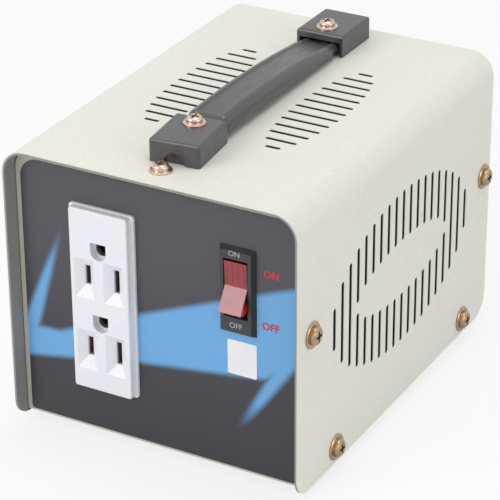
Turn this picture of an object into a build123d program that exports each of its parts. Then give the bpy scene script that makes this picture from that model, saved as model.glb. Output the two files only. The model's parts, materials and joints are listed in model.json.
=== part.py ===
"""Step-down travel voltage converter: a sheet metal case with a strap handle, a duplex
outlet, a lit rocker switch and a transformer inside. Lengths are in millimetres.

+X is to the right seen from the front, -Y is the front, +Z is up. The origin is at
floor level under the middle of the whole object.
"""
import math
import os

from build123d import *

# Case: driving dimensions
cover_width = 125.0
cover_depth = 169.0
cover_height = 117.3
cover_sheet = 1.0
cover_bend = 9.8
foot_height = 4.2
corner_round = 9.0
chassis_sheet = 1.2
chassis_bend = 2.0
chassis_rise = 0.8  # underside of the chassis above the cover's lower edge
side_fit = 0.3
top_fit = 0.3
front_recess = 7.0
rear_recess = 2.0
flange_width = 12.0
flange_end_gap = 16.0
tray_flange_height = 13.0
tray_flange_inset = 14.0
touch = 0.05  # running gap of a screw in its thread, or of a pin in its hole
slip = 0.3  # gap between soft or curved neighbours
overrun = 5.0

# Vents
vent_pitch = 6.4
vent_slot = 2.2
side_vent_half_length = 59.8
side_vent_half_height = 33.0
side_core_half_length = 39.2
side_core_half_height = 11.6
top_vent_half_length = 40.2
top_vent_half_width = 10.9
top_vent_offset = 26.2
top_vent_slot = 1.8

# Screws
screw_radius = 2.0
screw_flange_radius = 5.3
screw_flange_height = 0.9
screw_flange_edge = 0.4
top_screw_flange_radius = 4.4
top_screw_head_radius = 3.2
screw_head_radius = 3.7
screw_head_height = 3.0
screw_head_edge = 1.4
screw_cross_length = 4.2
screw_cross_width = 1.0
screw_cross_depth = 1.5
screw_clearance = 0.25
slot_width_share = 0.5
cover_screw_length = 8.0
panel_screw_offset = 4.5  # from the outer face of a panel to the flange screws
side_screw_height = 65.5
tray_screw_height = 7.0
tray_screw_front = 31.4
tray_screw_rear = 145.6

# Front overlay and sticker
label_thickness = 0.3
label_margin = 2.2
label_bottom = 2.8
label_top = 112.0
label_corner = 8.0
sticker_thickness = 0.15
sticker_width = 12.3
sticker_height = 14.4
sticker_x = 36.1
sticker_z = 50.6

# Duplex outlet
outlet_x = -22.85
outlet_z = 60.2
outlet_face_width = 25.5
outlet_face_height = 76.6
outlet_face_proud = 3.0
outlet_flange_margin = 1.3
outlet_flange_end_margin = 0.3
outlet_flange_thickness = 1.2
outlet_corner = 1.2
outlet_edge = 0.7
outlet_neck_width = 24.0
outlet_neck_lap = 1.5  # height of the neck beyond the housing, at each end
outlet_cut_gap = 0.3
outlet_pair_pitch = 30.7
outlet_pair_middle = 0.55
blade_spacing = 12.7
ground_rise = 11.9
hot_slot_height = 8.0
neutral_slot_height = 9.6
blade_slot_width = 2.3
ground_hole_width = 5.4
ground_hole_height = 5.6
well_width = 9.0
well_height = 17.2
well_depth = 2.6
well_drop = 0.5  # how far a well's middle lies below its slot's
ground_well_wall = 0.7
ground_well_depth = 3.0
housing_width = 23.4
housing_depth = 22.0
housing_wall = 1.6
housing_edge = 1.0
contact_sheet = 0.7
contact_leaf_gap = 1.7
contact_leaf_depth = 12.0
contact_bus_width = 4.6
contact_end_wall = 6.0
contact_room_gap = 2.95  # room beyond the outermost spring leaf
contact_tab_length = 7.0
ground_leaf_gap = 4.9
ground_leaf_height = 5.0
clip_sheet = 0.6
clip_width = 10.0
clip_base = 12.0
clip_nose = 3.0
clip_flare = 6.0
outlet_screw_radius = 1.3
outlet_screw_bite = 3.5
outlet_screw_head = 2.4
outlet_screw_head_height = 1.6
outlet_screw_edge = 3.0

# Rocker switch
switch_x = 34.7
switch_z = 80.4
bezel_width = 15.2
bezel_height = 35.6
bezel_proud = 2.3
bezel_slope = 1.2
bezel_drop = 1.4  # how far its middle lies below the rocker's
switch_body_width = 13.0
switch_body_height = 31.0
switch_body_depth = 20.0
switch_wall = 1.2
rocker_width = 9.4
rocker_half_height = 9.8
rocker_tip_reach = 6.2
rocker_dip = 3.0
rocker_gap = 0.35
rocker_back = 3.0
rocker_waist = 4.5
rocker_pivot_depth = 1.0  # behind the front face of the panel
rocker_tilt = 14.0
pivot_radius = 1.3
pivot_length = 0.9
plunger_radius = 1.3
plunger_reach = 8.7
plunger_bore = 4.0
spring_wire = 0.35
spring_radius = 0.9
spring_pitch = 0.75
spring_length = 3.0
seesaw_length = 15.0
seesaw_width = 5.0
seesaw_sheet = 0.8
seesaw_tilt = 5.6
seesaw_gap = 0.3
seesaw_knuckle = 1.0
blade_width = 4.8
blade_sheet = 0.8
blade_length = 9.0
blade_pitch = 11.0
lamp_radius = 1.6
lamp_length = 6.0
lamp_back = -1.7
lamp_lift = 4.2
latch_proud = 0.8
latch_height = 8.0
latch_depth = 4.0

# Strap handle
handle_middle = 89.5  # from the cover's front edge
handle_half_span = 71.8
cap_length = 25.0
cap_width = 20.6
cap_height = 9.2
cap_wall = 1.2
cap_end_wall = 2.4
cap_roof = 1.2
rear_cap_roof = 3.2
cap_edge = 1.1
cap_screw_inset = 6.6
cap_boss_radius = 3.2
cap_notch_width = 8.8
cap_notch_height = 4.5
cap_notch_depth = 1.3
front_cap_turn = 6.0  # degrees that the front cap sits askew on its screw
strap_width = 17.6
strap_neck_width = 16.0
strap_neck_roof = 7.4  # highest point of the front neck above the cover
strap_front_lift = 2.8
strap_middle_lift = 2.9
strap_rear_lift = 2.0
strap_front_roof = 9.0
strap_middle_roof = 9.6
strap_rear_roof = 5.2
strap_edge = 1.4
strap_channel_width = 8.6
strap_channel_depth = 0.7
strap_shoulder = 1.4
strap_taper = 7.0
strap_inset = 2.6  # length of the strap inside a cap
strap_run_length = 27.0
core_strip_thickness = 1.0
core_strip_width = 12.0
core_strip_lift = 3.0
tongue_slot_width = 4.8
tongue_slot_length = 8.6
tongue_slot_shift = 1.9
tongue_length = 19.0
handle_screw_length = 16.0
nut_flat_radius = 3.5
nut_sides = 6
nut_height = 3.0

# Feet
foot_radius = 7.0
foot_top_radius = 8.0
foot_inset_x = 26.0
foot_inset_y = 27.0
foot_well_radius = 4.2
foot_well_depth = 2.0
foot_screw_radius = 1.5
foot_screw_head = 3.4
foot_screw_head_height = 1.6
foot_screw_length = 7.0

# Transformer
core_width = 96.0
core_height = 80.0
core_stack = 46.0
core_limb = 16.0
core_y = 88.0
core_lift = 6.0  # underside of the core above the tray
bolt_radius = 2.0
bolt_gap = 0.25
bolt_inset = 5.0
bolt_head_radius = 3.8
bolt_head_height = 2.8
bobbin_wall = 1.4
bobbin_gap = 0.3
bobbin_flange_room = 0.8  # between a bobbin flange and the outer limb
winding_room = 1.4  # between the outer winding and the outer limb
winding_gap = 0.1
wrap_thickness = 0.6
bracket_sheet = 2.0
bracket_height = 12.0  # above the underside of the core
bracket_foot = 13.0
bracket_toe = 11.5
bracket_screw_x = 36.0
bracket_screw_length = 5.0
bar_height = 13.0
cutout_width = 7.0
cutout_height = 16.0
cutout_thickness = 4.0
cutout_corner = 1.3

# Rear fittings
gland_x = -30.0
gland_z = 28.0
gland_bore = 3.6
gland_thread_radius = 6.0
gland_thread_length = 9.0
gland_collar_radius = 9.0
gland_collar_length = 5.0
gland_nose_radius = 7.6
gland_nose_length = 6.0
gland_nut_radius = 9.0
gland_nut_height = 3.2
gland_flute = 0.7
gland_rim = 1.7
gland_flutes = 12
fuse_x = 28.0
fuse_z = 30.0
fuse_body_radius = 6.3
fuse_body_length = 30.0
fuse_collar_radius = 8.5
fuse_collar_length = 2.4
fuse_wall_end = 2.0
fuse_cap_radius = 6.6
fuse_cap_length = 4.5
fuse_stem_radius = 4.3
fuse_stem_length = 8.0
fuse_slot_width = 1.4
fuse_slot_depth = 1.2
fuse_cap_edge = 0.6
fuse_tube_radius = 3.0
fuse_glass_step = 0.35
fuse_tube_length = 20.0
fuse_ferrule_length = 5.0
fuse_nut_height = 2.6
fuse_nut_radius = 9.5
fuse_lug_width = 4.8
fuse_lug_length = 8.0
earth_x = -48.0
earth_y = 140.0
earth_screw_length = 4.5
earth_ring_radius = 5.0
earth_ring_thickness = 0.8
earth_tail = 7.0
earth_tail_width = 3.0

# Places worked out from the dimensions
leaf_reach = (outlet_pair_pitch + ground_rise) / 2 - outlet_pair_middle
leaf_reach += max(hot_slot_height, neutral_slot_height) / 2
housing_height = 2 * (leaf_reach + contact_room_gap + contact_end_wall)
outlet_neck_height = housing_height + 2 * outlet_neck_lap
rocker_tip = math.hypot(rocker_tip_reach, rocker_half_height)
lean = math.radians(rocker_tilt)
rocker_lip = rocker_tip_reach * math.cos(lean) + rocker_half_height * math.sin(lean)
front_reach = max(rocker_lip - rocker_pivot_depth - front_recess, 0.0)
rear_reach = gland_collar_length + gland_nose_length - rear_recess
front = (front_reach - rear_reach - cover_depth) / 2
rear = front + cover_depth
base = foot_height - chassis_rise
top = base + cover_height
half_width = cover_width / 2
panel_y = front + front_recess
rear_panel_y = rear - rear_recess
tray_z = base + chassis_rise
tray_top = tray_z + chassis_sheet
panel_top = top - cover_sheet - top_fit
chassis_half = half_width - cover_sheet - side_fit
label_y = panel_y - label_thickness
vent_y = (panel_y + rear_panel_y) / 2
vent_z = base + cover_height / 2
screw_hole = screw_radius + screw_clearance
thread_hole = screw_radius + touch


def block(x0, x1, y0, y1, z0, z1):
    """A box between two corners."""
    place = Pos((x0 + x1) / 2, (y0 + y1) / 2, (z0 + z1) / 2)
    return place * Box(x1 - x0, y1 - y0, z1 - z0)


def rod_x(x, y, z, radius, length):
    """A cylinder along X from x, towards +X."""
    return Pos(x + length / 2, y, z) * Rot(0, 90, 0) * Cylinder(radius, length)


def rod_y(x, y, z, radius, length):
    """A cylinder along Y from y, towards +Y."""
    return Pos(x, y + length / 2, z) * Rot(90, 0, 0) * Cylinder(radius, length)


def rod_z(x, y, z, radius, length):
    """A cylinder along Z from z, upwards."""
    return Pos(x, y, z + length / 2) * Cylinder(radius, length)


def rounded_plate(width, height, corner, y0, y1, x, z):
    """A flat plate facing the front with rounded corners, from y0 back to y1."""
    outline = Plane.XZ * RectangleRounded(width, height, corner)
    return Pos(x, y1, z) * extrude(outline, amount=y1 - y0)


def side_prism(points, half):
    """An outline in the YZ plane, as wide as 2 * half about X = 0."""
    outline = make_face(Polyline(points, close=True).edges())
    return extrude(Plane.YZ * outline, amount=half, both=True)


def arch_half_height(reach, half_length, half_height):
    """Half the height of an ellipse at a distance from its middle."""
    return half_height * math.sqrt(max(1 - (reach / half_length) ** 2, 0.0))


def sheet_screw(length, flange_radius=screw_flange_radius, head_radius=screw_head_radius):
    """A cross-recessed pan head screw with a flange, head up, seat at Z = 0."""
    flange = rod_z(0, 0, 0, flange_radius, screw_flange_height)
    flange = chamfer(flange.edges().group_by(Axis.Z)[-1], screw_flange_edge)
    head = rod_z(0, 0, 0, head_radius, screw_head_height)
    head = fillet(head.edges().group_by(Axis.Z)[-1], screw_head_edge)
    body = flange + head + rod_z(0, 0, -length, screw_radius, length)
    for turn in (0, 90):
        arm = Box(screw_cross_length, screw_cross_width, screw_cross_depth)
        body -= Pos(0, 0, screw_head_height - screw_cross_depth / 2) * Rot(0, 0, turn) * arm
    return body


def top_screw(length):
    """The same screw with the smaller head that is used on top of the cover."""
    return sheet_screw(length, top_screw_flange_radius, top_screw_head_radius)


def small_screw(length, radius, head_radius, head_height):
    """A plain round-head screw, head up, seat at Z = 0."""
    head = Pos(0, 0, head_height / 2) * Cylinder(head_radius, head_height)
    head = fillet(head.edges().group_by(Axis.Z)[-1], head_height / 2)
    head += Pos(0, 0, -length / 2) * Cylinder(radius, length)
    slot = Box(2 * head_radius + touch, slot_width_share * radius, head_height)
    return head - Pos(0, 0, head_height) * slot


def hex_nut(flat_radius, height, hole):
    """A hexagon nut on the XY plane."""
    nut = extrude(RegularPolygon(flat_radius, nut_sides, major_radius=False), amount=height)
    return nut - Pos(0, 0, height / 2) * Cylinder(hole, height + overrun)


def cover_screws():
    """The place and outward direction of each screw that holds the cover's sides."""
    spots = []
    for side in (-1, 1):
        turn = Rot(0, 90 * side, 0)
        x = side * half_width
        for y, z in (
            (panel_y + panel_screw_offset, base + side_screw_height),
            (rear_panel_y - panel_screw_offset, base + side_screw_height),
            (front + tray_screw_front, base + tray_screw_height),
            (front + tray_screw_rear, base + tray_screw_height),
        ):
            spots.append((x, y, z, turn))
    return spots


def vent_cutters():
    """Slots of the two side vents and the two top vents."""
    cutters = []
    half_slots = int(side_vent_half_length / vent_pitch)
    for i in range(-half_slots, half_slots + 1):
        y = i * vent_pitch
        outer = arch_half_height(y, side_vent_half_length, side_vent_half_height)
        inner = arch_half_height(y, side_core_half_length, side_core_half_height)
        if abs(y) < side_core_half_length:
            spans = [(inner, outer), (-outer, -inner)]
        else:
            spans = [(-outer, outer)]
        for low, high in spans:
            slot = Plane.YZ * SlotOverall(high - low, vent_slot, rotation=90)
            cut = extrude(slot, amount=half_width + overrun, both=True)
            cutters.append(Pos(0, vent_y + y, vent_z + (low + high) / 2) * cut)
    half_slots = int(top_vent_half_length / vent_pitch)
    for i in range(-half_slots, half_slots + 1):
        y = i * vent_pitch
        reach = arch_half_height(y, top_vent_half_length, top_vent_half_width)
        for side in (-1, 1):
            slot = SlotOverall(2 * reach, top_vent_slot)
            cut = extrude(slot, amount=cover_sheet + overrun, both=True)
            cutters.append(Pos(side * top_vent_offset, vent_y + y, top) * cut)
    return cutters


def cap_screw_places():
    """The two handle screws, as places along Y and the side their mouth faces."""
    first = front + handle_middle - handle_half_span + cap_length - cap_screw_inset
    last = front + handle_middle + handle_half_span - cap_length + cap_screw_inset
    return ((first, 1), (last, -1))


def make_cover():
    outer = block(-half_width, half_width, front, rear, base, top)
    outer = fillet(outer.edges().filter_by(Axis.Y).group_by(Axis.Z)[-1], cover_bend)
    inner = block(
        -half_width + cover_sheet, half_width - cover_sheet,
        front - overrun, rear + overrun, base - overrun, top - cover_sheet,
    )
    inner = fillet(inner.edges().filter_by(Axis.Y).group_by(Axis.Z)[-1], cover_bend - cover_sheet)
    shell = outer - inner
    outline = Polyline(
        (front, top + overrun), (front, base), (rear, base), (rear, top + overrun), close=True,
    )
    side = make_face(outline.edges())
    side = fillet([v for v in side.vertices() if v.Y < base + touch], corner_round)
    shell &= extrude(Plane.YZ * side, amount=half_width + overrun, both=True)
    cutters = vent_cutters()
    for x, y, z, turn in cover_screws():
        cutters.append(Pos(x, y, z) * turn * Cylinder(screw_hole, overrun))
    cutters.append(Pos(0, panel_y + panel_screw_offset, top) * Cylinder(screw_hole, overrun))
    for y, _ in cap_screw_places():
        cutters.append(Pos(0, y, top) * Cylinder(screw_hole, overrun))
    return shell - cutters


def make_chassis():
    """Front panel, tray and rear panel bent from one sheet, with flanges for the cover."""
    t = chassis_sheet
    outer = Polyline(
        (panel_y, panel_top), (panel_y, tray_z), (rear_panel_y, tray_z), (rear_panel_y, panel_top),
        close=True,
    )
    outer = make_face(outer.edges())
    outer = fillet([v for v in outer.vertices() if v.Y < tray_z + touch], chassis_bend)
    inner = Polyline(
        (panel_y + t, panel_top + overrun), (panel_y + t, tray_top),
        (rear_panel_y - t, tray_top), (rear_panel_y - t, panel_top + overrun), close=True,
    )
    inner = make_face(inner.edges())
    inner = fillet([v for v in inner.vertices() if v.Y < tray_top + touch], chassis_bend - t)
    body = extrude(Plane.YZ * outer, amount=chassis_half, both=True)
    body -= extrude(Plane.YZ * inner, amount=chassis_half + overrun, both=True)
    corner = cover_bend - cover_sheet
    envelope = block(-chassis_half, chassis_half, front, rear, base, panel_top)
    envelope = fillet(envelope.edges().filter_by(Axis.Y).group_by(Axis.Z)[-1], corner)
    low, high = tray_z + flange_end_gap, panel_top - flange_end_gap
    inset = chassis_half - t
    for side in (-1, 1):
        x0, x1 = sorted((side * inset, side * chassis_half))
        body += block(x0, x1, panel_y, panel_y + flange_width, low, high)
        body += block(x0, x1, rear_panel_y - flange_width, rear_panel_y, low, high)
        body += block(
            x0, x1, front + tray_flange_inset, rear - tray_flange_inset,
            tray_z, tray_z + tray_flange_height,
        )
    flap = inset - corner
    body += block(-flap, flap, panel_y, panel_y + flange_width, panel_top - t, panel_top)
    body += block(-flap, flap, rear_panel_y - flange_width, rear_panel_y, panel_top - t, panel_top)
    body &= envelope
    cutters = []
    for x, y, z, turn in cover_screws():
        cutters.append(Pos(x, y, z) * turn * Cylinder(thread_hole, 2 * overrun))
    cutters.append(Pos(0, panel_y + panel_screw_offset, panel_top) * Cylinder(thread_hole, overrun))
    gap = outlet_cut_gap
    cutters.append(block(
        outlet_x - outlet_neck_width / 2 - gap, outlet_x + outlet_neck_width / 2 + gap,
        panel_y - overrun, panel_y + t + touch,
        base + outlet_z - outlet_neck_height / 2 - gap, base + outlet_z + outlet_neck_height / 2 + gap,
    ))
    cutters.append(block(
        switch_x - switch_body_width / 2 - gap, switch_x + switch_body_width / 2 + gap,
        panel_y - overrun, panel_y + t + touch,
        base + switch_z - switch_body_height / 2 - gap, base + switch_z + switch_body_height / 2 + gap,
    ))
    back = rear_panel_y - overrun
    cutters.append(rod_y(gland_x, back, base + gland_z, gland_thread_radius + slip, 2 * overrun))
    cutters.append(rod_y(fuse_x, back, base + fuse_z, fuse_body_radius + slip, 2 * overrun))
    nut_room = nut_flat_radius / math.cos(math.pi / nut_sides) + slip
    for y, _ in cap_screw_places():
        cutters.append(rod_z(0, y, panel_top - nut_height, nut_room, nut_height + overrun))
    for x, y in foot_places():
        cutters.append(Pos(x, y, tray_z) * Cylinder(foot_screw_radius + touch, overrun))
    for x, y in bracket_screw_places():
        cutters.append(Pos(x, y, tray_z) * Cylinder(screw_radius + touch, overrun))
    cutters.append(Pos(earth_x, front + earth_y, tray_z) * Cylinder(screw_radius + touch, overrun))
    return body - cutters


def make_label():
    half = half_width - label_margin - cover_sheet - side_fit
    body = block(-half, half, label_y, panel_y, base + label_bottom, base + label_top)
    upright = body.edges().filter_by(Axis.Y)
    body = fillet(upright.group_by(Axis.Z)[-1], label_corner)
    body = fillet(body.edges().filter_by(Axis.Y).group_by(Axis.Z)[0], outlet_corner)
    gap = outlet_cut_gap
    body -= block(
        outlet_x - outlet_neck_width / 2 - gap, outlet_x + outlet_neck_width / 2 + gap,
        panel_y - overrun, panel_y + touch,
        base + outlet_z - outlet_neck_height / 2 - gap, base + outlet_z + outlet_neck_height / 2 + gap,
    )
    body -= block(
        switch_x - switch_body_width / 2 - gap, switch_x + switch_body_width / 2 + gap,
        panel_y - overrun, panel_y + touch,
        base + switch_z - switch_body_height / 2 - gap, base + switch_z + switch_body_height / 2 + gap,
    )
    return body


def make_sticker():
    return rounded_plate(
        sticker_width, sticker_height, outlet_edge,
        label_y - sticker_thickness, label_y, sticker_x, base + sticker_z,
    )


def outlet_centres():
    """Heights of the middle between ground hole and blade slots, upper then lower."""
    middle = base + outlet_z + outlet_pair_middle
    return (middle + outlet_pair_pitch / 2, middle - outlet_pair_pitch / 2)


outlet_front_y = label_y - outlet_flange_thickness - outlet_face_proud
housing_y = panel_y + chassis_sheet
housing_back = housing_y + housing_depth
contact_back = housing_back - housing_wall


def blade_slots():
    """Place and size of the four blade slots: x, z, height."""
    slots = []
    for z in outlet_centres():
        slots.append((outlet_x - blade_spacing / 2, z - ground_rise / 2, hot_slot_height))
        slots.append((outlet_x + blade_spacing / 2, z - ground_rise / 2, neutral_slot_height))
    return slots


def ground_holes():
    return [(outlet_x, z + ground_rise / 2) for z in outlet_centres()]


def ground_cut(x, z, wall, depth):
    """A ground hole, flat on top and round below, grown by a wall."""
    half = ground_hole_width / 2 + wall
    roof = z + ground_hole_height / 2 + wall
    low = z - ground_hole_height / 2 - wall + half
    body = block(x - half, x + half, outlet_front_y, outlet_front_y + depth, low, roof)
    return body + rod_y(x, outlet_front_y, low, half, depth)


def outlet_screw_places():
    """The two screws that hold the housing on the face, beyond the contact rooms."""
    reach = housing_height / 2 - outlet_screw_edge
    return [(outlet_x, base + outlet_z + side * reach) for side in (-1, 1)]


def slot_well(slot_height):
    """The sunken funnel around a blade slot, with its mouth on the XZ plane."""
    high, low = well_height / 2 - well_drop, -well_height / 2 - well_drop
    profile = [(-touch, high), (-touch, low), (well_depth, -slot_height / 2), (well_depth, slot_height / 2)]
    half, half_slot = well_width / 2, blade_slot_width / 2
    plan = Polyline(
        (-half, -touch), (half, -touch), (half_slot, well_depth), (-half_slot, well_depth), close=True,
    )
    plan = extrude(make_face(plan.edges()), amount=well_height, both=True)
    return side_prism(profile, half) & plan


def make_outlet_face():
    flange = rounded_plate(
        outlet_face_width + 2 * outlet_flange_margin, outlet_face_height + 2 * outlet_flange_end_margin,
        outlet_corner, label_y - outlet_flange_thickness, label_y, outlet_x, base + outlet_z,
    )
    face = rounded_plate(
        outlet_face_width, outlet_face_height, outlet_corner,
        outlet_front_y, label_y, outlet_x, base + outlet_z,
    )
    face = fillet(face.edges().group_by(Axis.Y)[0], outlet_edge)
    neck = rounded_plate(
        outlet_neck_width, outlet_neck_height, outlet_corner,
        label_y, housing_y, outlet_x, base + outlet_z,
    )
    body = flange + face + neck
    depth = housing_y - outlet_front_y + overrun
    for x, z, height in blade_slots():
        body -= Pos(x, outlet_front_y, z) * slot_well(height)
        body -= block(
            x - blade_slot_width / 2, x + blade_slot_width / 2,
            outlet_front_y, outlet_front_y + depth, z - height / 2, z + height / 2,
        )
    for x, z in ground_holes():
        body -= ground_cut(x, z, 0, depth)
        body -= ground_cut(x, z, ground_well_wall, ground_well_depth)
    for x, z in outlet_screw_places():
        body -= rod_y(x, housing_y - outlet_screw_bite, z, outlet_screw_radius + touch, overrun)
    return body


def contact_span():
    """Lowest and highest point of the rooms for the contacts."""
    reach = housing_height / 2 - contact_end_wall
    return base + outlet_z - reach, base + outlet_z + reach


def make_outlet_housing():
    """The moulded housing, open to the front, with three rooms for the contacts."""
    z = base + outlet_z
    body = rounded_plate(housing_width, housing_height, housing_edge, housing_y, housing_back, outlet_x, z)
    low, high = contact_span()
    half = contact_bus_width / 2 + slip
    half_tab = contact_sheet / 2 + touch
    for side in (-1, 1):
        x = outlet_x + side * blade_spacing / 2
        body -= block(x - half, x + half, housing_y - touch, contact_back, low, high)
        body -= block(
            x - half, x + half, contact_back - touch, housing_back + touch, z - half_tab, z + half_tab,
        )
    wide = ground_leaf_gap / 2 + contact_sheet + slip
    tall = ground_leaf_height / 2 + slip
    body -= block(
        outlet_x - half_tab - slip, outlet_x + half_tab + slip,
        contact_back - contact_bus_width - slip, contact_back, low, high,
    )
    for x, z_hole in ground_holes():
        body -= block(x - wide, x + wide, housing_y - touch, contact_back, z_hole - tall, z_hole + tall)
    body -= block(
        outlet_x - half_tab, outlet_x + half_tab, contact_back - touch, housing_back + touch,
        z - half, z + half,
    )
    for x, z_hole in outlet_screw_places():
        body -= rod_y(x, housing_y - touch, z_hole, outlet_screw_radius + touch, housing_depth + 2 * touch)
    return body


def make_contact(side, leaf_height):
    """A brass strip with two spring leaves behind each blade slot and a tab at the back."""
    x = outlet_x + side * blade_spacing / 2
    z = base + outlet_z
    low, high = contact_span()
    half = contact_bus_width / 2
    body = block(x - half, x + half, contact_back - contact_sheet, contact_back, low + slip, high - slip)
    body += block(
        x - half, x + half, contact_back - contact_sheet, housing_back + contact_tab_length,
        z - contact_sheet / 2, z + contact_sheet / 2,
    )
    start = contact_back - contact_leaf_depth
    for slot_x, slot_z, _ in blade_slots():
        if abs(slot_x - x) > touch:
            continue
        for hand in (-1, 1):
            near = x + hand * contact_leaf_gap / 2
            x0, x1 = sorted((near, near + hand * contact_sheet))
            body += block(x0, x1, start, contact_back, slot_z - leaf_height / 2, slot_z + leaf_height / 2)
    return body


def make_ground_contact():
    """A strip on edge with two leaves beside each ground pin and a tab at the back."""
    z = base + outlet_z
    low, high = contact_span()
    half = contact_sheet / 2
    front_y = contact_back - contact_bus_width
    body = block(outlet_x - half, outlet_x + half, front_y, contact_back, low + slip, high - slip)
    body += block(
        outlet_x - half, outlet_x + half, front_y, housing_back + contact_tab_length,
        z - contact_bus_width / 2, z + contact_bus_width / 2,
    )
    start = contact_back - contact_leaf_depth
    outside = ground_leaf_gap / 2 + contact_sheet
    tall = ground_leaf_height / 2
    for x, z_hole in ground_holes():
        clip = block(x - outside, x + outside, start, contact_back, z_hole - tall, z_hole + tall)
        inside = ground_leaf_gap / 2
        gap = block(
            x - inside, x + inside, start - touch, front_y, z_hole - tall - touch, z_hole + tall + touch,
        )
        body += clip - gap
    return body


def make_outlet_clips():
    """Spring clips on the ends of the housing that snap behind the panel."""
    clips = []
    half = clip_width / 2
    for side in (-1, 1):
        seat = side * housing_height / 2
        far = seat + side * clip_sheet
        tip = seat + side * clip_flare
        start = clip_nose + touch
        leaf = [
            (clip_base, seat), (touch, seat), (touch, far), (clip_sheet, far),
            (clip_nose - clip_sheet, tip), (start, tip), (clip_sheet + start, far), (clip_base, far),
        ]
        body = side_prism(leaf, half)
        clips.append(Pos(outlet_x, housing_y, base + outlet_z) * body)
    return clips


def make_outlet_screws():
    length = housing_depth + outlet_screw_bite - touch
    screw = small_screw(length, outlet_screw_radius, outlet_screw_head, outlet_screw_head_height)
    return [Pos(x, housing_back, z) * Rot(-90, 0, 0) * screw for x, z in outlet_screw_places()]


def rocker_pivot():
    return (switch_x, panel_y + rocker_pivot_depth, base + switch_z)


def make_switch_frame():
    """Bezel and housing of the switch, moulded in one."""
    z = base + switch_z
    outer = Plane.XZ * Rectangle(bezel_width, bezel_height)
    face = Plane.XZ * Rectangle(bezel_width - 2 * bezel_slope, bezel_height - 2 * bezel_slope)
    rings = [Pos(0, label_y, 0) * outer, Pos(0, label_y - bezel_proud, 0) * face]
    bezel = Pos(switch_x, 0, z - bezel_drop) * loft(rings)
    half_w, half_h = switch_body_width / 2, switch_body_height / 2
    back = panel_y + switch_body_depth
    body = bezel + block(switch_x - half_w, switch_x + half_w, label_y, back, z - half_h, z + half_h)
    room_w = rocker_width / 2 + rocker_gap
    room_h = rocker_tip + rocker_gap
    wall = switch_wall
    body -= block(
        switch_x - room_w, switch_x + room_w, label_y - bezel_proud - overrun, back - wall,
        z - room_h, z + room_h,
    )
    x, y, z = rocker_pivot()
    length = 2 * (room_w + pivot_length)
    body -= rod_x(x - length / 2, y, z, pivot_radius + touch, length)
    for hand in (-1, 0, 1):
        blade_z = z + hand * blade_pitch
        body -= block(
            x - blade_width / 2 - touch, x + blade_width / 2 + touch, back - wall - touch, back + touch,
            blade_z - blade_sheet / 2 - touch, blade_z + blade_sheet / 2 + touch,
        )
    latch_y = panel_y + chassis_sheet + touch
    for side in (-1, 1):
        near = switch_x + side * (half_w - touch)
        far = switch_x + side * (half_w + latch_proud)
        x0, x1 = sorted((near, far))
        body += block(x0, x1, latch_y, latch_y + latch_depth, z - latch_height / 2, z + latch_height / 2)
    return body


def make_rocker():
    """The rocker in its rest pose, top pressed in."""
    tip, h = rocker_tip_reach, rocker_half_height
    points = [
        (-tip, h), (rocker_dip - tip, 0), (-tip, -h),
        (-rocker_dip, -h), (rocker_back, -rocker_waist), (rocker_back, rocker_waist), (-rocker_dip, h),
    ]
    body = side_prism(points, rocker_width / 2)
    for side in (-1, 1):
        start = side * rocker_width / 2
        length = side * (pivot_length + rocker_gap - touch)
        body += rod_x(min(start, start + length), 0, 0, pivot_radius, abs(length))
    room = lamp_radius + slip
    body -= rod_x(-lamp_length / 2 - slip, lamp_back, lamp_lift, room, lamp_length + 2 * slip)
    body -= rod_y(0, rocker_back - plunger_bore, 0, plunger_radius + touch, plunger_bore + touch)
    return Pos(*rocker_pivot()) * Rot(-rocker_tilt, 0, 0) * body


def make_lamp():
    body = rod_x(-lamp_length / 2, lamp_back, lamp_lift, lamp_radius, lamp_length)
    return Pos(*rocker_pivot()) * Rot(-rocker_tilt, 0, 0) * body


def make_plunger():
    start = rocker_back - plunger_bore + spring_length + slip
    body = rod_y(0, start, 0, plunger_radius, plunger_reach - plunger_radius - start)
    body += Pos(0, plunger_reach - plunger_radius, 0) * Sphere(plunger_radius)
    return Pos(*rocker_pivot()) * Rot(-rocker_tilt, 0, 0) * body


def make_plunger_spring():
    """The coil spring that presses the plunger against the contact arm."""
    path = Helix(spring_pitch, spring_length - spring_wire, spring_radius)
    section = Plane(origin=path @ 0, z_dir=path % 0) * Circle(spring_wire / 2)
    coil = sweep(section, path=path, is_frenet=True)
    place = Pos(0, rocker_back - plunger_bore + spring_wire / 2, 0) * Rot(-90, 0, 0)
    return Pos(*rocker_pivot()) * Rot(-rocker_tilt, 0, 0) * place * coil


def seesaw_pivot():
    x, y, z = rocker_pivot()
    return (x, y + plunger_reach + seesaw_gap + seesaw_knuckle, z)


def make_seesaw():
    """The moving contact arm, tipped by the plunger."""
    x, y, z = seesaw_pivot()
    arm = Pos(0, -seesaw_knuckle + seesaw_sheet / 2, 0) * Box(seesaw_width, seesaw_sheet, seesaw_length)
    arm += rod_x(-seesaw_width / 2, 0, 0, seesaw_knuckle, seesaw_width)
    return Pos(x, y, z) * Rot(seesaw_tilt, 0, 0) * arm


def make_switch_blades():
    """Three tab terminals: the middle one carries the seesaw."""
    x, y, z = seesaw_pivot()
    back = panel_y + switch_body_depth
    blades = []
    for hand in (-1, 0, 1):
        blade_z = z + hand * blade_pitch
        start = back - switch_wall
        if hand == 0:
            start = y + seesaw_knuckle + slip
        blades.append(block(
            x - blade_width / 2, x + blade_width / 2, start, back + blade_length,
            blade_z - blade_sheet / 2, blade_z + blade_sheet / 2,
        ))
    return blades


def handle_ends():
    first = front + handle_middle - handle_half_span
    last = front + handle_middle + handle_half_span
    return first, last


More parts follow.
